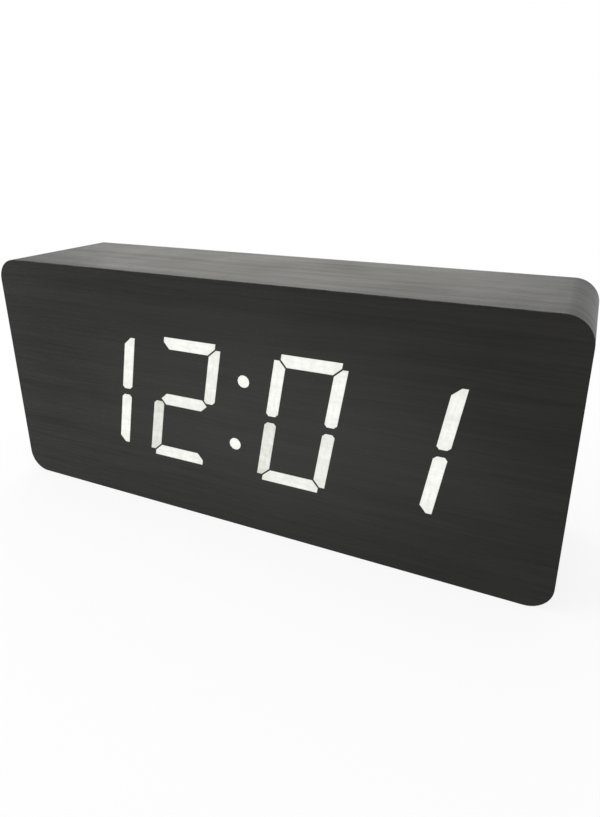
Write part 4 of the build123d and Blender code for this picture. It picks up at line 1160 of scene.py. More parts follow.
FILM_FRONT = FrontFilm("front film", "wood_look_film")
FILM_STRIP = StripFilm("side film", "wood_look_film")
FILM_BACK = FlatFilm("back panel film", "back_board_face", dark=(0.012, 0.0118, 0.0115),
                     light=(0.020, 0.0195, 0.019), roughness=0.55, node="back_board", corner_radius=0.00675)
LIT = LitFilm("lit film", "lit_film")
BOARD_CORE = Fibreboard("fibreboard", "fibreboard")
BLOCK_WOOD = Fibreboard("corner block", "fibreboard", colour=(0.20, 0.145, 0.09), shade=(0.11, 0.08, 0.05))
TRAY = MouldedPlastic("tray plastic", "tray_plastic")
BUTTON = MouldedPlastic("button plastic", "button_plastic", colour=(0.030, 0.030, 0.031), roughness=0.34,
                        relief_depth=0.000012, scuffs=0.15)
BLACK_PART = MouldedPlastic("black component", "black_component", colour=(0.024, 0.024, 0.024),
                            roughness=0.55)
WHITE = MouldedPlastic("white moulding", "white_moulding", colour=(0.80, 0.80, 0.78),
                       shade=(0.74, 0.74, 0.71), roughness=0.5, relief_depth=0.00001, scuffs=0.05)
MILKY = MouldedPlastic("milky sheet", "milky_sheet", colour=(0.84, 0.85, 0.83), shade=(0.80, 0.81, 0.79),
                       roughness=0.4, relief_depth=0.000006, scuffs=0.03)
LAMP = MouldedPlastic("lamp body", "lamp_body", colour=(0.80, 0.68, 0.22), shade=(0.76, 0.62, 0.18),
                      roughness=0.35, texture_scale=3000.0, relief_depth=0.000006, scuffs=0.0)
PLATED = Metal("nickel plating", "plated_metal")
DARK_STEEL = Metal("blackened steel", "screw_metal", colour=(0.090, 0.090, 0.094),
                   shade=(0.046, 0.046, 0.049), roughness=0.34)
CIRCUIT = BoardMask("circuit board", "circuit_board")
JACKET = CellJacket("cell jacket", "cell_jacket")
FOAM = Foam("foam", "foam_pad")
RED_WIRE = SoftJacket("red wire", "lead_jacket", colour=(0.42, 0.018, 0.014))
BLACK_WIRE = SoftJacket("black wire", "lead_jacket", colour=(0.018, 0.018, 0.018))
GREY_CABLE = SoftJacket("grey flat cable", "lead_jacket", colour=(0.36, 0.36, 0.36), stripe_from=0.04126)


# Placing pieces

class Workshop:
    """Makes and dresses pieces, puts them on their bodies and reports each of them."""

    def __init__(self) -> None:
        """Build the shared effects."""
        self.effects = Effects()

    def place(self, piece: bpy.types.Object, body: Body, finish: Finish, stands_for: Iterable[str]) -> None:
        """Finish a piece, let it ride on a body, and hide the solids that it stands for.

        Args:
            piece: The new piece, in place.
            body: What it moves with.
            finish: Its finish.
            stands_for: The nodes that it replaces.
        """
        piece.data.materials.clear()
        piece.data.materials.append(finish.material(self.effects))
        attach(piece, body.value)
        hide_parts(*stands_for)
        LOG.info("%s rides on %s in %s", piece.name, body.value, finish.name)

    def make(self, name: str, surfaces: Sequence[Surface], body: Body, finish: Finish, node: str,
             smooth_angle: float = SHARP_ANGLE) -> bpy.types.Object:
        """Make a piece of surfaces that stands for one node, and place it.

        Args:
            name: The piece's name.
            surfaces: Its closed skins.
            body: What it moves with.
            finish: Its finish.
            node: The node that it replaces.
            smooth_angle: Edges that turn by more than this stay sharp.

        Returns:
            The new piece.
        """
        piece = mesh_piece(name, surfaces, smooth_angle)
        self.place(piece, body, finish, [node])
        return piece

    def dress(self, finish: Finish, *nodes: str) -> None:
        """Give solids that stay as they are their finish.

        Args:
            finish: The finish.
            nodes: Names of the solids.
        """
        for node in nodes:
            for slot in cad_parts[node].material_slots:
                slot.material = finish.material(self.effects)
            LOG.info("%s is dressed in %s", node, finish.name)


# Sub-assemblies

@dataclass
class CaseFilm:
    """The film round the four sides, whose ends meet in a seam under the case, and the front film."""

    width: float = 210.0
    height: float = 90.0
    corner_radius: float = CASE_CORNER
    front: float = -24.6
    back: float = 25.0
    thickness: float = 0.4
    front_ease: float = 0.30
    back_ease: float = 0.15
    cut_band: float = 0.4
    seam_place: float = 60.0
    seam_gap: float = 0.3
    corner_steps: int = 32
    wear_band: float = 0.7

    def path(self) -> tuple[Array, Array]:
        """The outline from one side of the seam round to the other.

        Returns:
            Its points, and the outward direction at each of them.
        """
        outline, outwards = rounded_outline(self.width, self.height, self.corner_radius, self.corner_steps)
        first, last = (np.array([(self.seam_place + side * self.seam_gap / 2, -self.height / 2)])
                       for side in (1, -1))
        down = np.array([(0.0, -1.0)])
        return np.concatenate([first, outline, last]), np.concatenate([down, outwards, down])

    def profile(self) -> Array:
        """How far in and how far back the strip's closed section lies, with eased outer edges.

        Returns:
            The section's points, one row each.
        """
        deep = self.thickness
        middle = (self.front + self.back) / 2
        return eased_profile([
            (deep, middle, 0.0), (deep, self.front, 0.0), (0.0, self.front, self.front_ease),
            (0.0, self.front + self.cut_band, 0.0), (0.0, middle, 0.0),
            (0.0, self.back - self.wear_band, 0.0), (0.0, self.back, self.back_ease),
            (deep, self.back, 0.0), (deep, middle, 0.0),
        ])[:-1]

    def side_strip(self) -> Surface:
        """The strip as its section carried along the outline.

        Every point is the outline's point, moved inwards against its direction by the section's
        inset, at the section's depth. The strip's own map is the length along the outline and the
        depth, in metres.

        Returns:
            The closed skin, with its map and its marks.
        """
        path, outwards = self.path()
        section = self.profile()
        drawn = path[:, None] - section[None, :, :1] * outwards[:, None]
        depth = np.broadcast_to(section[None, :, 1], drawn.shape[:2])
        points = np.stack([drawn[..., 0], depth, drawn[..., 1] + self.height / 2], axis=-1)
        run = np.concatenate([[0.0], np.cumsum(np.linalg.norm(np.diff(path, axis=0), axis=1))])
        uv = np.stack([np.broadcast_to(run[:, None], depth.shape), depth], axis=-1) * MM
        return Surface(points, uv, {
            "front_edge": np.clip(1.0 - (depth - self.front) / self.cut_band, 0.0, 1.0),
            "wear": np.clip(1.0 - (self.back - depth) / self.wear_band, 0.0, 1.0),
        })

    def build(self, shop: Workshop) -> None:
        """Make and dress the case's outside.

        Args:
            shop: The workshop.
        """
        shop.make("film_strip", [self.side_strip()], Body.CASE, FILM_STRIP, "side_film")
        shop.dress(FILM_FRONT, "front_film")
        shop.dress(BOARD_CORE, "case_shell")
        shop.dress(BLOCK_WOOD, "corner_blocks")


class Segment(Enum):
    """The bars of a digit, clockwise from the top, and the middle one."""

    TOP = "a"
    UPPER_RIGHT = "b"
    LOWER_RIGHT = "c"
    BOTTOM = "d"
    LOWER_LEFT = "e"
    UPPER_LEFT = "f"
    MIDDLE = "g"


@dataclass
class Reading:
    """The lit bars and dots of the time, flush in the front film."""

    hours: str = "12"
    minutes: str = "01"
    drives: dict[str, dict[Segment, float]] = field(default_factory=lambda: {
        "0": {Segment.TOP: 1.0, Segment.UPPER_RIGHT: 0.98, Segment.LOWER_RIGHT: 0.84, Segment.BOTTOM: 0.92,
              Segment.LOWER_LEFT: 0.72, Segment.UPPER_LEFT: 1.0},
        "1": {Segment.UPPER_RIGHT: 0.95, Segment.LOWER_RIGHT: 0.98},
        "2": {Segment.TOP: 1.0, Segment.UPPER_RIGHT: 0.90, Segment.MIDDLE: 0.90, Segment.LOWER_LEFT: 0.68,
              Segment.BOTTOM: 0.95},
    })
    middle_x: float = 0.35
    middle_z: float = 44.8
    digit_height: float = 46.9
    digit_width: float = 25.3
    pitch: float = 35.8
    pitch_over_colon: float = 45.5
    slant: float = 0.182
    bar: float = 4.3
    gap: float = 0.6
    middle_gap: float = 2.4
    tip_cut: float = 1.8
    dot: float = 4.4
    dot_spacing: float = 23.8
    dot_sides: int = 12
    front: float = -25.0
    back: float = -24.6
    steps_per_side: int = 10
    ring_shares: tuple[float, ...] = (0.2, 0.5, 0.75, 0.9, 1.0)
    lamp_shares: Pair = (0.25, 0.75)
    lamp_reach: float = 3.4
    lamp_glow: float = 0.16
    edge_fall: float = 0.12
    edge_power: int = 6

    def outlines(self) -> dict[Segment, Array]:
        """The seven bars of an upright digit about its own middle.

        Returns:
            The corners of each bar.
        """
        half, cut = self.bar / 2, self.tip_cut
        u, v = (self.digit_width - self.bar) / 2, (self.digit_height - self.bar) / 2
        shift, nose, blunt = self.gap / math.sqrt(2), self.gap * math.sqrt(2), self.middle_gap / 2
        end, rise = u + half - cut - shift, v + half - cut
        across = np.array([(-u + half + shift, v - half), (u - half - shift, v - half), (end, rise),
                           (end, v + half), (-end, v + half), (-end, rise)])
        upright = np.array([(u - half, v - half - shift), (u + half - cut, rise - shift),
                            (u + half, rise - shift), (u + half, half), (u + blunt, blunt),
                            (u - blunt, blunt), (u - half, half)])
        middle = np.array([(u - nose, 0), (u - nose - half, half), (-u + nose + half, half), (-u + nose, 0),
                           (-u + nose + half, -half), (u - nose - half, -half)])
        flip, mirror = np.array((1, -1)), np.array((-1, 1))
        return {
            Segment.TOP: across, Segment.UPPER_RIGHT: upright, Segment.LOWER_RIGHT: upright * flip,
            Segment.BOTTOM: across * flip, Segment.LOWER_LEFT: -upright,
            Segment.UPPER_LEFT: upright * mirror, Segment.MIDDLE: middle,
        }

    def columns(self) -> list[float]:
        """Where the middles of the four digits stand."""
        inner = self.pitch_over_colon / 2
        return [self.middle_x + side for side in (-inner - self.pitch, -inner, inner, inner + self.pitch)]

    def leaned(self, points: Array, column: float) -> Array:
        """Points of an upright digit leaned over by the slant and moved to their place."""
        return np.stack([column + points[:, 0] + points[:, 1] * self.slant, self.middle_z + points[:, 1]], -1)

    def patch(self, outline: Array, axis_ends: Array, drive: float) -> Surface:
        """One lit patch from its outline and the line of its lamps.

        Rings lie between the nearest point of the lamps' line and the outline, by a share that grows
        from row to row; the last two rows are the patch's wall. Its glow falls with the square of the
        distance from the two lamps, and a little towards the outline.

        Args:
            outline: Corners of the patch.
            axis_ends: Both ends of the middle line.
            drive: How brightly the lamps are driven.

        Returns:
            The patch with its glow.
        """
        step = np.arange(self.steps_per_side) / self.steps_per_side
        border = outline[:, None] + (np.roll(outline, -1, axis=0) - outline)[:, None] * step[None, :, None]
        border = border.reshape(-1, 2)
        first, line = axis_ends[0], axis_ends[1] - axis_ends[0]
        length = max(float(line @ line), TINY)
        on_axis = first + np.clip((border - first) @ line / length, 0.0, 1.0)[:, None] * line
        share = np.array([*self.ring_shares, 1.0])[:, None]
        rings = on_axis + (border - on_axis) * share[..., None]
        depth = np.full(rings.shape[:2], self.front)
        depth[-1] = self.back
        lamps = first + line * np.array(self.lamp_shares)[:, None]
        apart = np.linalg.norm(rings[:, :, None] - lamps, axis=-1)
        near = np.exp(-(apart / self.lamp_reach) ** 2).max(-1)
        lit = 1.0 - self.lamp_glow + self.lamp_glow * near
        glow = drive * lit * (1.0 - self.edge_fall * share ** self.edge_power)
        return Surface(np.stack([rings[..., 0], depth, rings[..., 1]], axis=-1), marks={"glow": glow})

    def bars(self, text: str, columns: Sequence[float]) -> list[Surface]:
        """The lit bars of some digits, each driven a little differently.

        Args:
            text: The digits.
            columns: Where their middles stand.

        Returns:
            A patch for each lit bar.
        """
        patches = []
        for digit, column in zip(text, columns):
            for bar, drive in self.drives[digit].items():
                outline = self.outlines()[bar]
                low, high = outline.min(0), outline.max(0)
                reach = (high - low - self.bar) / 2
                ends = (low + high) / 2 + np.array([-reach, reach])
                patches.append(self.patch(self.leaned(outline, column), self.leaned(ends, column), drive))
        return patches

    def dots(self) -> list[Surface]:
        """The two dots, each a circle about its lamp.

        Returns:
            A patch for each dot.
        """
        angle = TURN * np.arange(self.dot_sides) / self.dot_sides
        circle = self.dot / 2 * np.stack([np.cos(angle), np.sin(angle)], axis=-1)
        heights = (self.dot_spacing / 2, -self.dot_spacing / 2)
        centres = [self.leaned(np.array([(0.0, height)]), self.middle_x) for height in heights]
        return [self.patch(centre + circle, np.repeat(centre, 2, axis=0), 1.0) for centre in centres]

    def build(self, shop: Workshop) -> None:
        """Make and dress the lit pieces.

        Args:
            shop: The workshop.
        """
        columns = self.columns()
        shop.make("lit_hour_bars", self.bars(self.hours, columns[:2]), Body.CASE, LIT, "lit_hours")
        shop.make("lit_minute_bars", self.bars(self.minutes, columns[2:]), Body.CASE, LIT, "lit_minutes")
        shop.make("lit_dots", self.dots(), Body.CASE, LIT, "lit_colon")


@dataclass
class ScrewSet:
    """Countersunk cross-head screws driven in from the back, with their threads."""

    name: str
    stands_for: str
    column: float
    row: float
    shank: float
    length: float
    head: float
    pitch: float = 1.1
    thread_depth: float = 0.28
    thread_end: float = 0.4
    thread_power: float = 0.7
    run_out: float = 1.5
    tip: float = 0.08
    rim: Triple = (0.06, 0.03, 0.12)
    rim_levels: Triple = (-0.18, -0.1, -0.03)
    recess_width: float = 0.75
    recess_share: float = 0.66
    recess_depth: float = 0.85
    recess_ease: Pair = (0.10, 0.05)
    recess_taper: float = 0.80
    recess_tip: Pair = (0.05, 0.2)
    surface: float = 24.2
    middle_z: float = 45.0
    sides: int = 48
    steps_per_pitch: int = 8
    turns: tuple[float, ...] = (12.0, 71.0, 38.0, 95.0)

    def one(self, x: float, z: float, turn: float) -> Surface:
        """One screw from its tip to the bottom of its cross.

        The thread's radius drops from the crest by its depth times a wave of the height over the
        pitch less the angle over a full turn. Above it the profile widens to the head, and goes down
        into the cross, whose radius depends on the angle.

        Args:
            x: Where the screw stands along X.
            z: How high it stands.
            turn: How far it is turned, in degrees.

        Returns:
            The closed skin.
        """
        shank, head = self.shank / 2, self.head / 2
        cone = head - shank
        top = -cone - self.thread_end
        count = int((self.length - cone - shank) / self.pitch * self.steps_per_pitch)
        height = np.linspace(-self.length + shank, top, count)[:, None]
        angle = np.arange(self.sides)[None, :] / self.sides
        wave = np.abs(((height / self.pitch - angle) % 1.0) - 0.5) * 2.0
        fading = np.clip((top - height) / self.run_out, 0.0, 1.0)
        thread = shank - self.thread_depth * wave ** self.thread_power * fading
        cross = cross_radius(self.sides, self.recess_width, self.head * self.recess_share)
        rings = [
            (self.tip, -self.length), (thread, height), (shank, -cone),
            (head - self.rim[0], self.rim_levels[0]), (head, self.rim_levels[1]),
            (head - self.rim[1], self.rim_levels[2]), (head - self.rim[2], 0.0),
            (cross + self.recess_ease[0], 0.0), (cross, -self.recess_ease[1]),
            (cross * self.recess_taper, -self.recess_depth),
            (self.recess_tip[0], -self.recess_depth - self.recess_tip[1]),
        ]
        full_ring = np.zeros((1, self.sides))
        pairs = [np.broadcast_arrays(radius, level, full_ring)[:2] for radius, level in rings]
        radii, heights = (np.concatenate(part) for part in zip(*pairs))
        made = turned((0.0, self.surface, 0.0), Axis.BACKWARDS, radii, heights, self.sides)
        cosine, sine = math.cos(math.radians(turn)), math.sin(math.radians(turn))
        spin = np.array([(cosine, sine), (-sine, cosine)])
        made.points[..., [0, 2]] = made.points[..., [0, 2]] @ spin + (x, z)
        return made

    def build(self, shop: Workshop) -> None:
        """Make and dress the four screws.

        Args:
            shop: The workshop.
        """
        places = [(sx * self.column, self.middle_z + sz * self.row) for sx in (-1, 1) for sz in (-1, 1)]
        screws = [self.one(*place, turn) for place, turn in zip(places, self.turns)]
        shop.make(self.name, screws, Body.CASE, DARK_STEEL, self.stands_for)


@dataclass(frozen=True)
class Key:
    """One button: its name, its body, its mark and its place along X."""

    name: str
    body: Body
    mark: ButtonMark
    x: float


@dataclass
class Keys:
    """The three buttons in the back, each with its sunk mark, flange and post."""

    keys: tuple[Key, ...] = (Key("down", Body.DOWN_KEY, ButtonMark.DOWN, 13.37),
                             Key("set", Body.SET_KEY, ButtonMark.RING, 27.37),
                             Key("up", Body.UP_KEY, ButtonMark.UP, 41.37))
    row: float = 56.0
    top: float = 25.0
    diameter: float = 8.0
    flange_diameter: float = 9.6
    flange_top: float = 21.4
    flange_bottom: float = 20.4
    flange_ease: float = 0.12
    post_diameter: float = 3.0
    post_bottom: float = 20.0
    post_ease: float = 0.1
    post_centre: float = 0.05
    edge_round: float = 0.5
    dish: float = 0.12
    dish_ease: float = 0.3
    dish_insets: Pair = (1.0, 1.4)
    dish_shares: Pair = (1.0 / 3.0, 0.7)
    mark_depth: float = 0.3
    mark_size: float = 1.7
    mark_ease: Pair = (0.06, 0.05)
    mark_draft: float = 0.04
    mark_centre_share: float = 0.1
    ring_draft: float = 0.03
    ring_centre: float = 0.1
    sides: int = 96
    corner_steps: int = 6

    def profile(self) -> Array:
        """Radius and place along Y from the post's end, round the flange, to the rim of the dish.

        Returns:
            The profile's points, one row each.
        """
        post, flange, cap = self.post_diameter / 2, self.flange_diameter / 2, self.diameter / 2
        return eased_profile([
            (self.post_centre, self.post_bottom, 0.0), (post, self.post_bottom, self.post_ease),
            (post, self.flange_bottom, 0.0), (flange, self.flange_bottom, self.flange_ease),
            (flange, self.flange_top, self.flange_ease), (cap, self.flange_top, 0.0),
            (cap, self.top, self.edge_round), *(
                (cap - inset, self.top - self.dish * share, ease)
                for inset, share, ease in zip(self.dish_insets, self.dish_shares, (self.dish_ease, 0.0))),
        ], steps=self.corner_steps)

    def face(self, mark: ButtonMark) -> list[tuple[Any, float]]:
        """Rows of a button's face from the mark's outline to the middle.

        The face sinks to the mark's outline and drops by the mark's depth, and for a ring it rises
        again inside it. A triangle's radius depends on the angle.

        Args:
            mark: The mark.

        Returns:
            Radius and place along Y of each row.
        """
        size, (ease, drop) = self.mark_size, self.mark_ease
        level = self.top - self.dish
        floor = level - self.mark_depth
        if mark is ButtonMark.RING:
            draft, inner = self.ring_draft, size / 2
            return [(size + ease, level), (size, level - drop), (size - draft, floor), (inner + draft, floor),
                    (inner, level - drop), (inner - ease, level), (self.ring_centre, level)]
        outline = polygon_radius(self.sides, 3, size / 2, mark.value)
        return [(outline + ease, level), (outline, level - drop), (outline - self.mark_draft, floor),
                (outline * self.mark_centre_share, floor)]

    def cap(self, key: Key) -> Surface:
        """One button.

        Args:
            key: Which button.

        Returns:
            The closed skin, whose rows are the profile's and then the face's.
        """
        rows = [*self.profile(), *self.face(key.mark)]
        radii = np.stack([np.broadcast_to(radius, self.sides) for radius, _ in rows])
        heights = np.array([level for _, level in rows])
        return turned((key.x, 0.0, self.row), Axis.BACKWARDS, radii, heights, self.sides)

    def build(self, shop: Workshop) -> None:
        """Make and dress the buttons and the switches that they press.

        Args:
            shop: The workshop.
        """
        for key in self.keys:
            shop.make(f"{key.name}_key_cap", [self.cap(key)], key.body, BUTTON, f"{key.name}_button")
            shop.dress(WHITE, f"{key.name}_plunger")
        shop.dress(BLACK_PART, "switch_housings")


@dataclass
class BatteryBay:
    """The four cells, their springs and contacts, and the foam pad in the door."""

    rows: tuple[float, ...] = (28.5, 39.5, 50.5, 61.5)
    axis_y: float = 15.55
    left_face: float = -53.78
    right_face: float = -3.48
    dimple: float = 0.8
    cell_length: float = 44.5
    cell_diameter: float = 10.5
    cell_sides: int = 64
    sleeve_fold: float = 1.5
    sleeve_lip: float = 1.2
    steel_inset: Pair = (0.12, 0.15)
    axis_gap: float = 0.1
    nub_diameter: float = 3.8
    nub_length: float = 1.0
    nub_ease: float = 0.35
    nub_sides: int = 40
    rim: float = 0.45
    wire: float = 0.6
    wire_sides: int = 14
    spring_base: float = 3.1
    spring_tip: float = 2.0
    spring_length: float = 5.0
    spring_turns: float = 3.0
    spring_gap: float = 0.03
    spring_flattening: float = 0.09
    spring_steps: int = 200
    foam_centre: Triple = (-28.63, 21.65, 45.0)
    foam_size: Triple = (34.5, 1.1, 34.0)
    foam_corner: float = 2.0
    foam_draw: float = 0.45
    foam_crown: float = 0.25
    foam_centre_share: float = 0.05
    foam_corner_steps: int = 6
    foam_face_rows: int = 14
    foam_side_rows: int = 9

    def nub_side(self, index: int) -> int:
        """Which end a cell's nub points to: the cells lie head to tail."""
        return 1 if index % 2 == 0 else -1

    def face(self, side: int) -> float:
        """Where the contacts' free face lies at one end of the bay."""
        return self.right_face if side > 0 else self.left_face

    def seat(self, index: int, inset: float) -> tuple[Triple, Axis]:
        """Where a round piece of a cell starts, and that it grows towards the end with the nub.

        Args:
            index: Which cell.
            inset: How far in from the contact's dimple the piece starts.

        Returns:
            The start of its axis, and the way that the axis points.
        """
        side = self.nub_side(index)
        start = self.face(side) - side * (self.dimple + inset)
        return (start, self.axis_y, self.rows[index]), Axis.RIGHT if side > 0 else Axis.LEFT

    def cell(self, index: int) -> Surface:
        """One cell's sleeve with its steel ends.

        The sleeve rolls over both ends, and the steel lies a little lower inside its rim.

        Args:
            index: Which cell.

        Returns:
            The closed skin, with marks of how far along the cell a point lies and where steel is bare.
        """
        body, radius = self.cell_length - self.nub_length, self.cell_diameter / 2
        foot, lip, gap = radius - self.sleeve_fold, radius - self.sleeve_lip, self.axis_gap
        low, high = self.steel_inset[0], body - self.steel_inset[1]
        radii, heights = eased_profile([
            (gap, low, 0.0), (foot, low, 0.0), (foot, 0.0, 0.0), (radius, 0.0, self.rim),
            (radius, body, self.rim), (lip, body, 0.0), (lip, high, 0.0), (gap, high, 0.0),
        ]).T
        made = turned(*self.seat(index, self.cell_length), radii, heights, self.cell_sides)
        ring = np.ones(self.cell_sides)
        steel = (radii <= lip + TINY).astype(float)
        made.marks = {"along": np.outer(heights / body, ring), "bare": np.outer(steel, ring)}
        return made

    def nub(self, index: int) -> Surface:
        """The raised end of one cell, with a domed edge.

        Args:
            index: Which cell.

        Returns:
            The closed skin.
        """
        radius, gap = self.nub_diameter / 2, self.axis_gap
        radii, heights = eased_profile([
            (gap, -gap, 0.0), (radius, -gap, 0.0), (radius, self.nub_length, self.nub_ease),
            (gap, self.nub_length, 0.0),
        ]).T
        return turned(*self.seat(index, self.nub_length), radii, heights, self.nub_sides)

    def spring(self, index: int) -> Surface:
        """One tapered spring on the flat end of a cell.

        The wire's middle turns about X while its radius shrinks evenly from base to tip. It rises by
        an eased share of the turns, so that the first and last turns lie nearly flat.

        Args:
            index: Which cell.

        Returns:
            The closed skin.
        """
        side = -self.nub_side(index)
        share = np.linspace(0.0, 1.0, self.spring_steps)
        radius = self.spring_base + (self.spring_tip - self.spring_base) * share
        eased = share - self.spring_flattening * np.sin(TURN * share)
        free = self.spring_length - self.wire - 2 * self.spring_gap
        rise = self.wire / 2 + self.spring_gap + free * eased
        angle = TURN * self.spring_turns * share
        outwards = np.stack([np.zeros_like(angle), np.cos(angle), np.sin(angle)], axis=-1)
        path = radius[:, None] * outwards + (0.0, self.axis_y, self.rows[index])
        path[:, 0] = self.face(side) - side * rise
        return tube(path, outwards, self.wire / 2, self.wire_sides)

    def foam(self) -> Surface:
        """The foam pad as a thin cushion, glued down by its flat back.

        Its free face is made of outlines scaled towards the middle, and is crowned: it stands out
        most in the middle and falls by the square of the outline's share. Its side bulges: the
        outline is drawn in by the fourth power of the height over half the thickness.

        Returns:
            The closed skin.
        """
        width, thick, height = self.foam_size
        outline, outwards = rounded_outline(width, height, self.foam_corner, self.foam_corner_steps)
        share = np.linspace(self.foam_centre_share, 1.0, self.foam_face_rows)
        level = np.linspace(-1.0, 1.0, self.foam_side_rows)[1:]
        scale = np.concatenate([share, np.ones(len(level))])[:, None, None]
        draw = self.foam_draw * np.concatenate([np.ones(len(share)), np.abs(level) ** 4])[:, None, None]
        free_face, fall = -thick / 2, self.foam_crown
        crown = free_face + fall * share ** 2
        side = free_face + fall + (thick - fall) * (level + 1) / 2
        drawn = (outline - draw * outwards) * scale
        depth = np.broadcast_to(np.concatenate([crown, side])[:, None], drawn.shape[:2])
        return Surface(np.stack([drawn[..., 0], depth, drawn[..., 1]], axis=-1) + self.foam_centre)

    def build(self, shop: Workshop) -> None:
        """Make and dress everything in the bay.

        Args:
            shop: The workshop.
        """
        for name, maker, finish, node in (
            ("cell_sleeves", self.cell, JACKET, "cell_jackets"),
            ("cell_caps", self.nub, PLATED, "cell_nubs"),
            ("cell_springs", self.spring, PLATED, "contact_springs"),
        ):
            shop.make(name, [maker(index) for index in range(len(self.rows))], Body.CASE, finish, node)
        pad = shop.make("foam_pad", [self.foam()], Body.DOOR, FOAM, "door_foam")
        shop.dress(PLATED, "bridge_contacts", "end_contacts")


@dataclass(frozen=True)
class Lead:
    """One wire: its piece's name, its finish, its length in metres and the points of its route."""

    name: str
    finish: Finish
    length: float
    route: tuple[Triple, ...]


@dataclass
class Wiring:
    """The two wires from the bay to the control board, and the flat cable between the two boards."""

    leads: tuple[Lead, ...] = (
        Lead("red_lead", RED_WIRE, 0.034,
             ((-3.28, 5.4, 61.5), (-3.28, -3.6, 61.5), (5.77, -3.6, 51.3), (5.77, 14.0, 51.3))),
        Lead("black_lead", BLACK_WIRE, 0.039,
             ((-3.28, 5.4, 28.5), (-3.28, -3.6, 28.5), (5.77, -3.6, 47.1), (5.77, 14.0, 47.1))),
    )
    wire_diameter: float = 1.2
    wire_round_steps: int = 4
    wire_length_steps: int = 24
    cable_x: float = 37.45
    cable_start: Pair = (-8.7, 47.76)
    cable_end: Pair = (10.0, 56.76)
    cable_pull: float = 0.55
    cable_steps: int = 60
    cable_thickness: float = 0.9
    cable_web: float = 0.45
    cable_smooth_angle: float = math.radians(50.0)
    ways: int = 8
    way_pitch: float = 1.27
    way_steps: int = 8

    def wire(self, lead: Lead) -> bpy.types.Object:
        """A round wire on a smooth curve that its route's points control.

        Args:
            lead: The wire.

        Returns:
            The new curve object.
        """
        curve = bpy.data.curves.new(lead.name, "CURVE")
        curve.dimensions = "3D"
        curve.bevel_depth = self.wire_diameter / 2 * MM
        curve.bevel_resolution = self.wire_round_steps
        curve.use_fill_caps = True
        spline = curve.splines.new("NURBS")
        spline.points.add(len(lead.route) - 1)
        for point, place in zip(spline.points, lead.route):
            point.co = (*(part * MM for part in place), 1.0)
        spline.order_u = 3
        spline.use_endpoint_u = True
        spline.resolution_u = self.wire_length_steps
        piece = bpy.data.objects.new(lead.name, curve)
        bpy.context.scene.collection.objects.link(piece)
        return piece

    def cable(self) -> Surface:
        """The flat cable: a ribbed section carried along a smooth rise between the two plugs.

        The path rises by an eased share, 3 s^2 - 2 s^3, and is pulled out along Y by
        s (1 - s) (1 - 2 s), so that it leaves and reaches the plugs straight along Y. The section's
        half thickness swells over every way as the root of a cosine.

        Returns:
            The closed skin.
        """
        share = np.linspace(0.0, 1.0, self.cable_steps)
        (y0, z0), (y1, z1) = self.cable_start, self.cable_end
        eased = share ** 2 * (3 - 2 * share)
        pull = 3.0 * (y1 - y0) * self.cable_pull
        y = y0 + (y1 - y0) * eased + pull * share * (1 - share) * (1 - 2 * share)
        z = z0 + (z1 - z0) * eased
        tangent = np.stack([np.gradient(y), np.gradient(z)], axis=-1)
        tangent /= np.linalg.norm(tangent, axis=1, keepdims=True)
        half_width = self.ways * self.way_pitch / 2
        x = np.linspace(-half_width, half_width, self.ways * self.way_steps + 1)
        swell = np.sqrt(np.abs(np.cos(math.pi * (x / self.way_pitch + 0.5 * (1 - self.ways % 2)))))
        half = self.cable_thickness / 2 * (self.cable_web + (1.0 - self.cable_web) * swell)
        section = np.concatenate([np.stack([x, half], -1), np.stack([x[::-1], -half[::-1]], -1)])
        return Surface(np.stack([
            np.broadcast_to(self.cable_x + section[None, :, 0], (len(share), len(section))),
            y[:, None] - tangent[:, 1:] * section[None, :, 1],
            z[:, None] + tangent[:, :1] * section[None, :, 1],
        ], axis=-1))

    def build(self, shop: Workshop) -> None:
        """Make and dress the wires and the cable.

        Args:
            shop: The workshop.
        """
        for lead in self.leads:
            piece = self.wire(lead)
            shop.place(piece, Body.CASE, lead.finish, ["battery_leads"])
        shop.make("flat_cable", [self.cable()], Body.CASE, GREY_CABLE, "ribbon_cable",
                  self.cable_smooth_angle)


@dataclass
class Insides:
    """The solids that stay as the frame has them, under the finish that each of them gets."""

    finishes: tuple[tuple[Finish, tuple[str, ...]], ...] = (
        (MILKY, ("diffuser_sheet",)),
        (WHITE, ("light_box", "light_header", "control_header")),
        (CIRCUIT, ("light_board", "control_board")),
        (LAMP, ("segment_lamps",)),
        (BLACK_PART, ("driver_chip", "controller_chip", "clock_chip", "power_socket_tongue", "thermistor",
                      "buzzer", "capacitors")),
        (PLATED, ("chip_leads", "display_screws", "control_board_screws", "power_socket_shell", "microphone",
                  "coin_cell", "timing_crystal")),
        (TRAY, ("coin_cell_holder", "rear_tray", "battery_door")),
        (FILM_BACK, ("back_board",)),
    )

    def build(self, shop: Workshop) -> None:
        """Dress every one of them."""
        for finish, nodes in self.finishes:
            shop.dress(finish, *nodes)


# Floor, light and camera

@dataclass(frozen=True)
class Lamp:
    """A soft square lamp that looks at the clock: its name, place, side, watts and colour."""

    name: str
    place: Triple
    side: float
    watts: float
    colour: Colour = PURE_WHITE


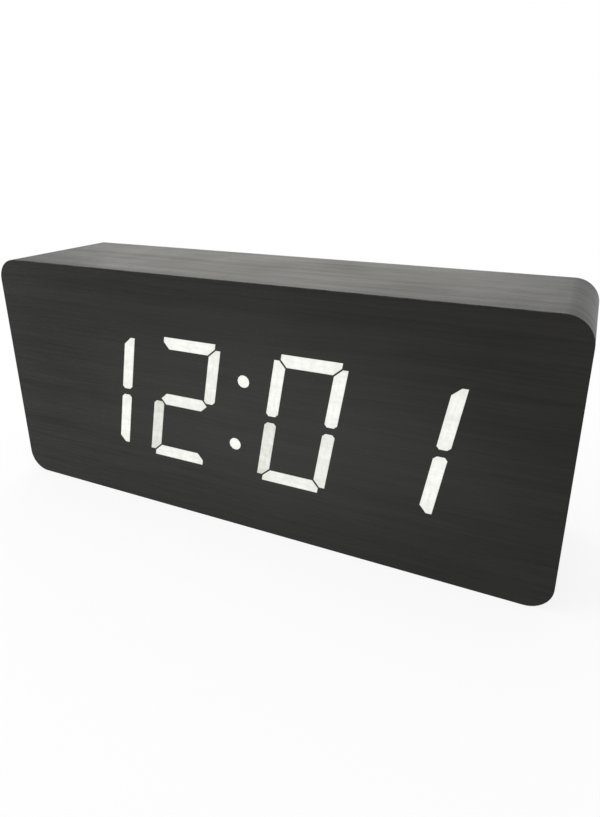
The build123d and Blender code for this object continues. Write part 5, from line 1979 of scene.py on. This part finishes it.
@dataclass
class Studio:
    """A pale floor under soft light, and the camera at the photograph's viewing angle."""

    lamps: tuple[Lamp, ...] = (
        Lamp("key", (-1.08, -0.74, 0.93), 0.9, 8.9),
        Lamp("top", (-0.25, 0.10, 1.35), 1.1, 7.0),
        Lamp("back", (-0.50, 1.16, 0.80), 1.3, 5.1, (1.0, 0.985, 0.89)),
    )
    lamps_look_at: Triple = (0.0, 0.0, 0.045)
    floor_size: float = 6.0
    floor_level: float = -0.00002
    floor_colour: Colour = (0.88, 0.88, 0.88)
    white_near: float = 0.86
    white_limits: Pair = (0.16, 0.55)
    world_level: float = 0.55
    camera_place: Triple = (0.10165, -0.18754, 0.12955)
    yaw: float = 25.56
    pitch: float = 20.10
    roll: float = -0.33
    focal_pixels: float = 613.09
    principal_pixel: Pair = (301.6, 371.3)
    picture_pixels: Pair = (600.0, 817.0)
    sensor: float = 36.0
    clip: Pair = (0.005, 20.0)

    @staticmethod
    def looking_rays(sheet: Sheet) -> Link:
        """1 for rays that show the background: to the camera, in reflections and through glass.

        Args:
            sheet: The sheet of the floor's material or of the sky.

        Returns:
            1 for those rays and 0 for the others.
        """
        rays = sheet.add("LightPath").outputs
        shown = sheet.math("MAXIMUM", rays["Is Camera Ray"], rays["Is Glossy Ray"])
        return sheet.math("MAXIMUM", shown, rays["Is Transmission Ray"])

    def floor(self) -> None:
        """A flat floor that is white to the camera, keeps the shadow and is clear from below.

        To the camera, its own white takes over with the distance from the clock, so that its far edge
        doesn't show.
        """
        half = self.floor_size / 2
        corners = [(half * x, half * y, self.floor_level) for x, y in ((-1, -1), (1, -1), (1, 1), (-1, 1))]
        mesh = bpy.data.meshes.new("floor")
        mesh.from_pydata(corners, [], [(0, 1, 2, 3)])
        floor = bpy.data.objects.new("floor", mesh)
        bpy.context.scene.collection.objects.link(floor)
        material = bpy.data.materials.new("pale floor")
        material.use_nodes = True
        sheet = Sheet(material.node_tree)
        matt = sheet.add("BsdfDiffuse", {"Color": self.floor_colour}).outputs[0]
        white = sheet.add("Emission", {"Color": PURE_WHITE, "Strength": 1.0}).outputs[0]
        clear = sheet.add("BsdfTransparent").outputs[0]
        far = sheet.vector("LENGTH", sheet.place(), output="Value")
        share_white = sheet.ramp(far, self.white_limits, self.white_near, 1.0)
        seen = sheet.times(self.looking_rays(sheet), share_white)
        plain = sheet.add("MixShader", {0: seen, 1: matt, 2: white}).outputs[0]
        below = sheet.add("NewGeometry").outputs["Backfacing"]
        mixed = sheet.add("MixShader", {0: below, 1: plain, 2: clear}).outputs[0]
        sheet.add("OutputMaterial", {"Surface": mixed})
        mesh.materials.append(material)

    def world(self) -> None:
        """A plain sky: white to the camera and in reflections, softer as light."""
        world = bpy.data.worlds.new("studio")
        world.use_nodes = True
        sheet = Sheet(world.node_tree)
        level = sheet.plus(sheet.times(self.looking_rays(sheet), 1.0 - self.world_level), self.world_level)
        sky = sheet.add("Background", {"Color": PURE_WHITE, "Strength": level}).outputs[0]
        sheet.add("OutputWorld", {"Surface": sky})
        bpy.context.scene.world = world

    def light(self, lamp: Lamp) -> None:
        """Hang one lamp, turned towards the clock.

        Args:
            lamp: The lamp.
        """
        data = bpy.data.lights.new(lamp.name, "AREA")
        data.size = lamp.side
        data.energy = lamp.watts
        data.color = lamp.colour
        hung = bpy.data.objects.new(lamp.name, data)
        hung.location = lamp.place
        towards = Vector(self.lamps_look_at) - Vector(lamp.place)
        hung.rotation_mode = "QUATERNION"
        hung.rotation_quaternion = towards.to_track_quat("-Z", "Y")
        bpy.context.scene.collection.objects.link(hung)

    def camera(self) -> None:
        """The camera, turned by its yaw, pitch and roll, with the photograph's principal point."""
        yaw, pitch, roll = (math.radians(angle) for angle in (self.yaw, self.pitch, self.roll))
        ahead = Vector((-math.sin(yaw) * math.cos(pitch), math.cos(yaw) * math.cos(pitch), -math.sin(pitch)))
        right = Vector((math.cos(yaw), math.sin(yaw), 0.0))
        above = right.cross(ahead)
        turned_right = math.cos(roll) * right + math.sin(roll) * above
        turned_up = -math.sin(roll) * right + math.cos(roll) * above
        data = bpy.data.cameras.new("camera")
        width, height = self.picture_pixels
        longest = max(width, height)
        data.sensor_width = self.sensor
        data.lens = self.focal_pixels * self.sensor / longest
        data.shift_x = (width / 2 - self.principal_pixel[0]) / longest
        data.shift_y = (self.principal_pixel[1] - height / 2) / longest
        data.clip_start, data.clip_end = self.clip
        camera = bpy.data.objects.new("camera", data)
        turn = Matrix((turned_right, turned_up, -ahead)).transposed()
        camera.matrix_world = Matrix.Translation(self.camera_place) @ turn.to_4x4()
        bpy.context.scene.collection.objects.link(camera)
        bpy.context.scene.camera = camera

    def build(self) -> None:
        """Set up the studio."""
        bpy.context.scene.view_settings.view_transform = "Standard"
        self.camera()
        self.floor()
        self.world()
        for lamp in self.lamps:
            self.light(lamp)


def main() -> None:
    """Build every sub-assembly in order."""
    logging.basicConfig(level=logging.INFO, format="%(message)s")
    shop = Workshop()
    Studio().build()
    for assembly in (
        CaseFilm(),
        Reading(),
        Insides(),
        Keys(),
        BatteryBay(),
        Wiring(),
        ScrewSet("board_screws", "back_board_screws", column=93.35, row=33.35, shank=3.0, length=16.0,
                 head=6.0),
        ScrewSet("flange_screws", "tray_screws", column=59.5, row=27.3, shank=2.4, length=5.6, head=4.4,
                 pitch=0.9, recess_width=0.7, turns=(33.0, 80.0, 5.0, 52.0)),
    ):
        assembly.build(shop)


if __name__ == "__main__":
    main()
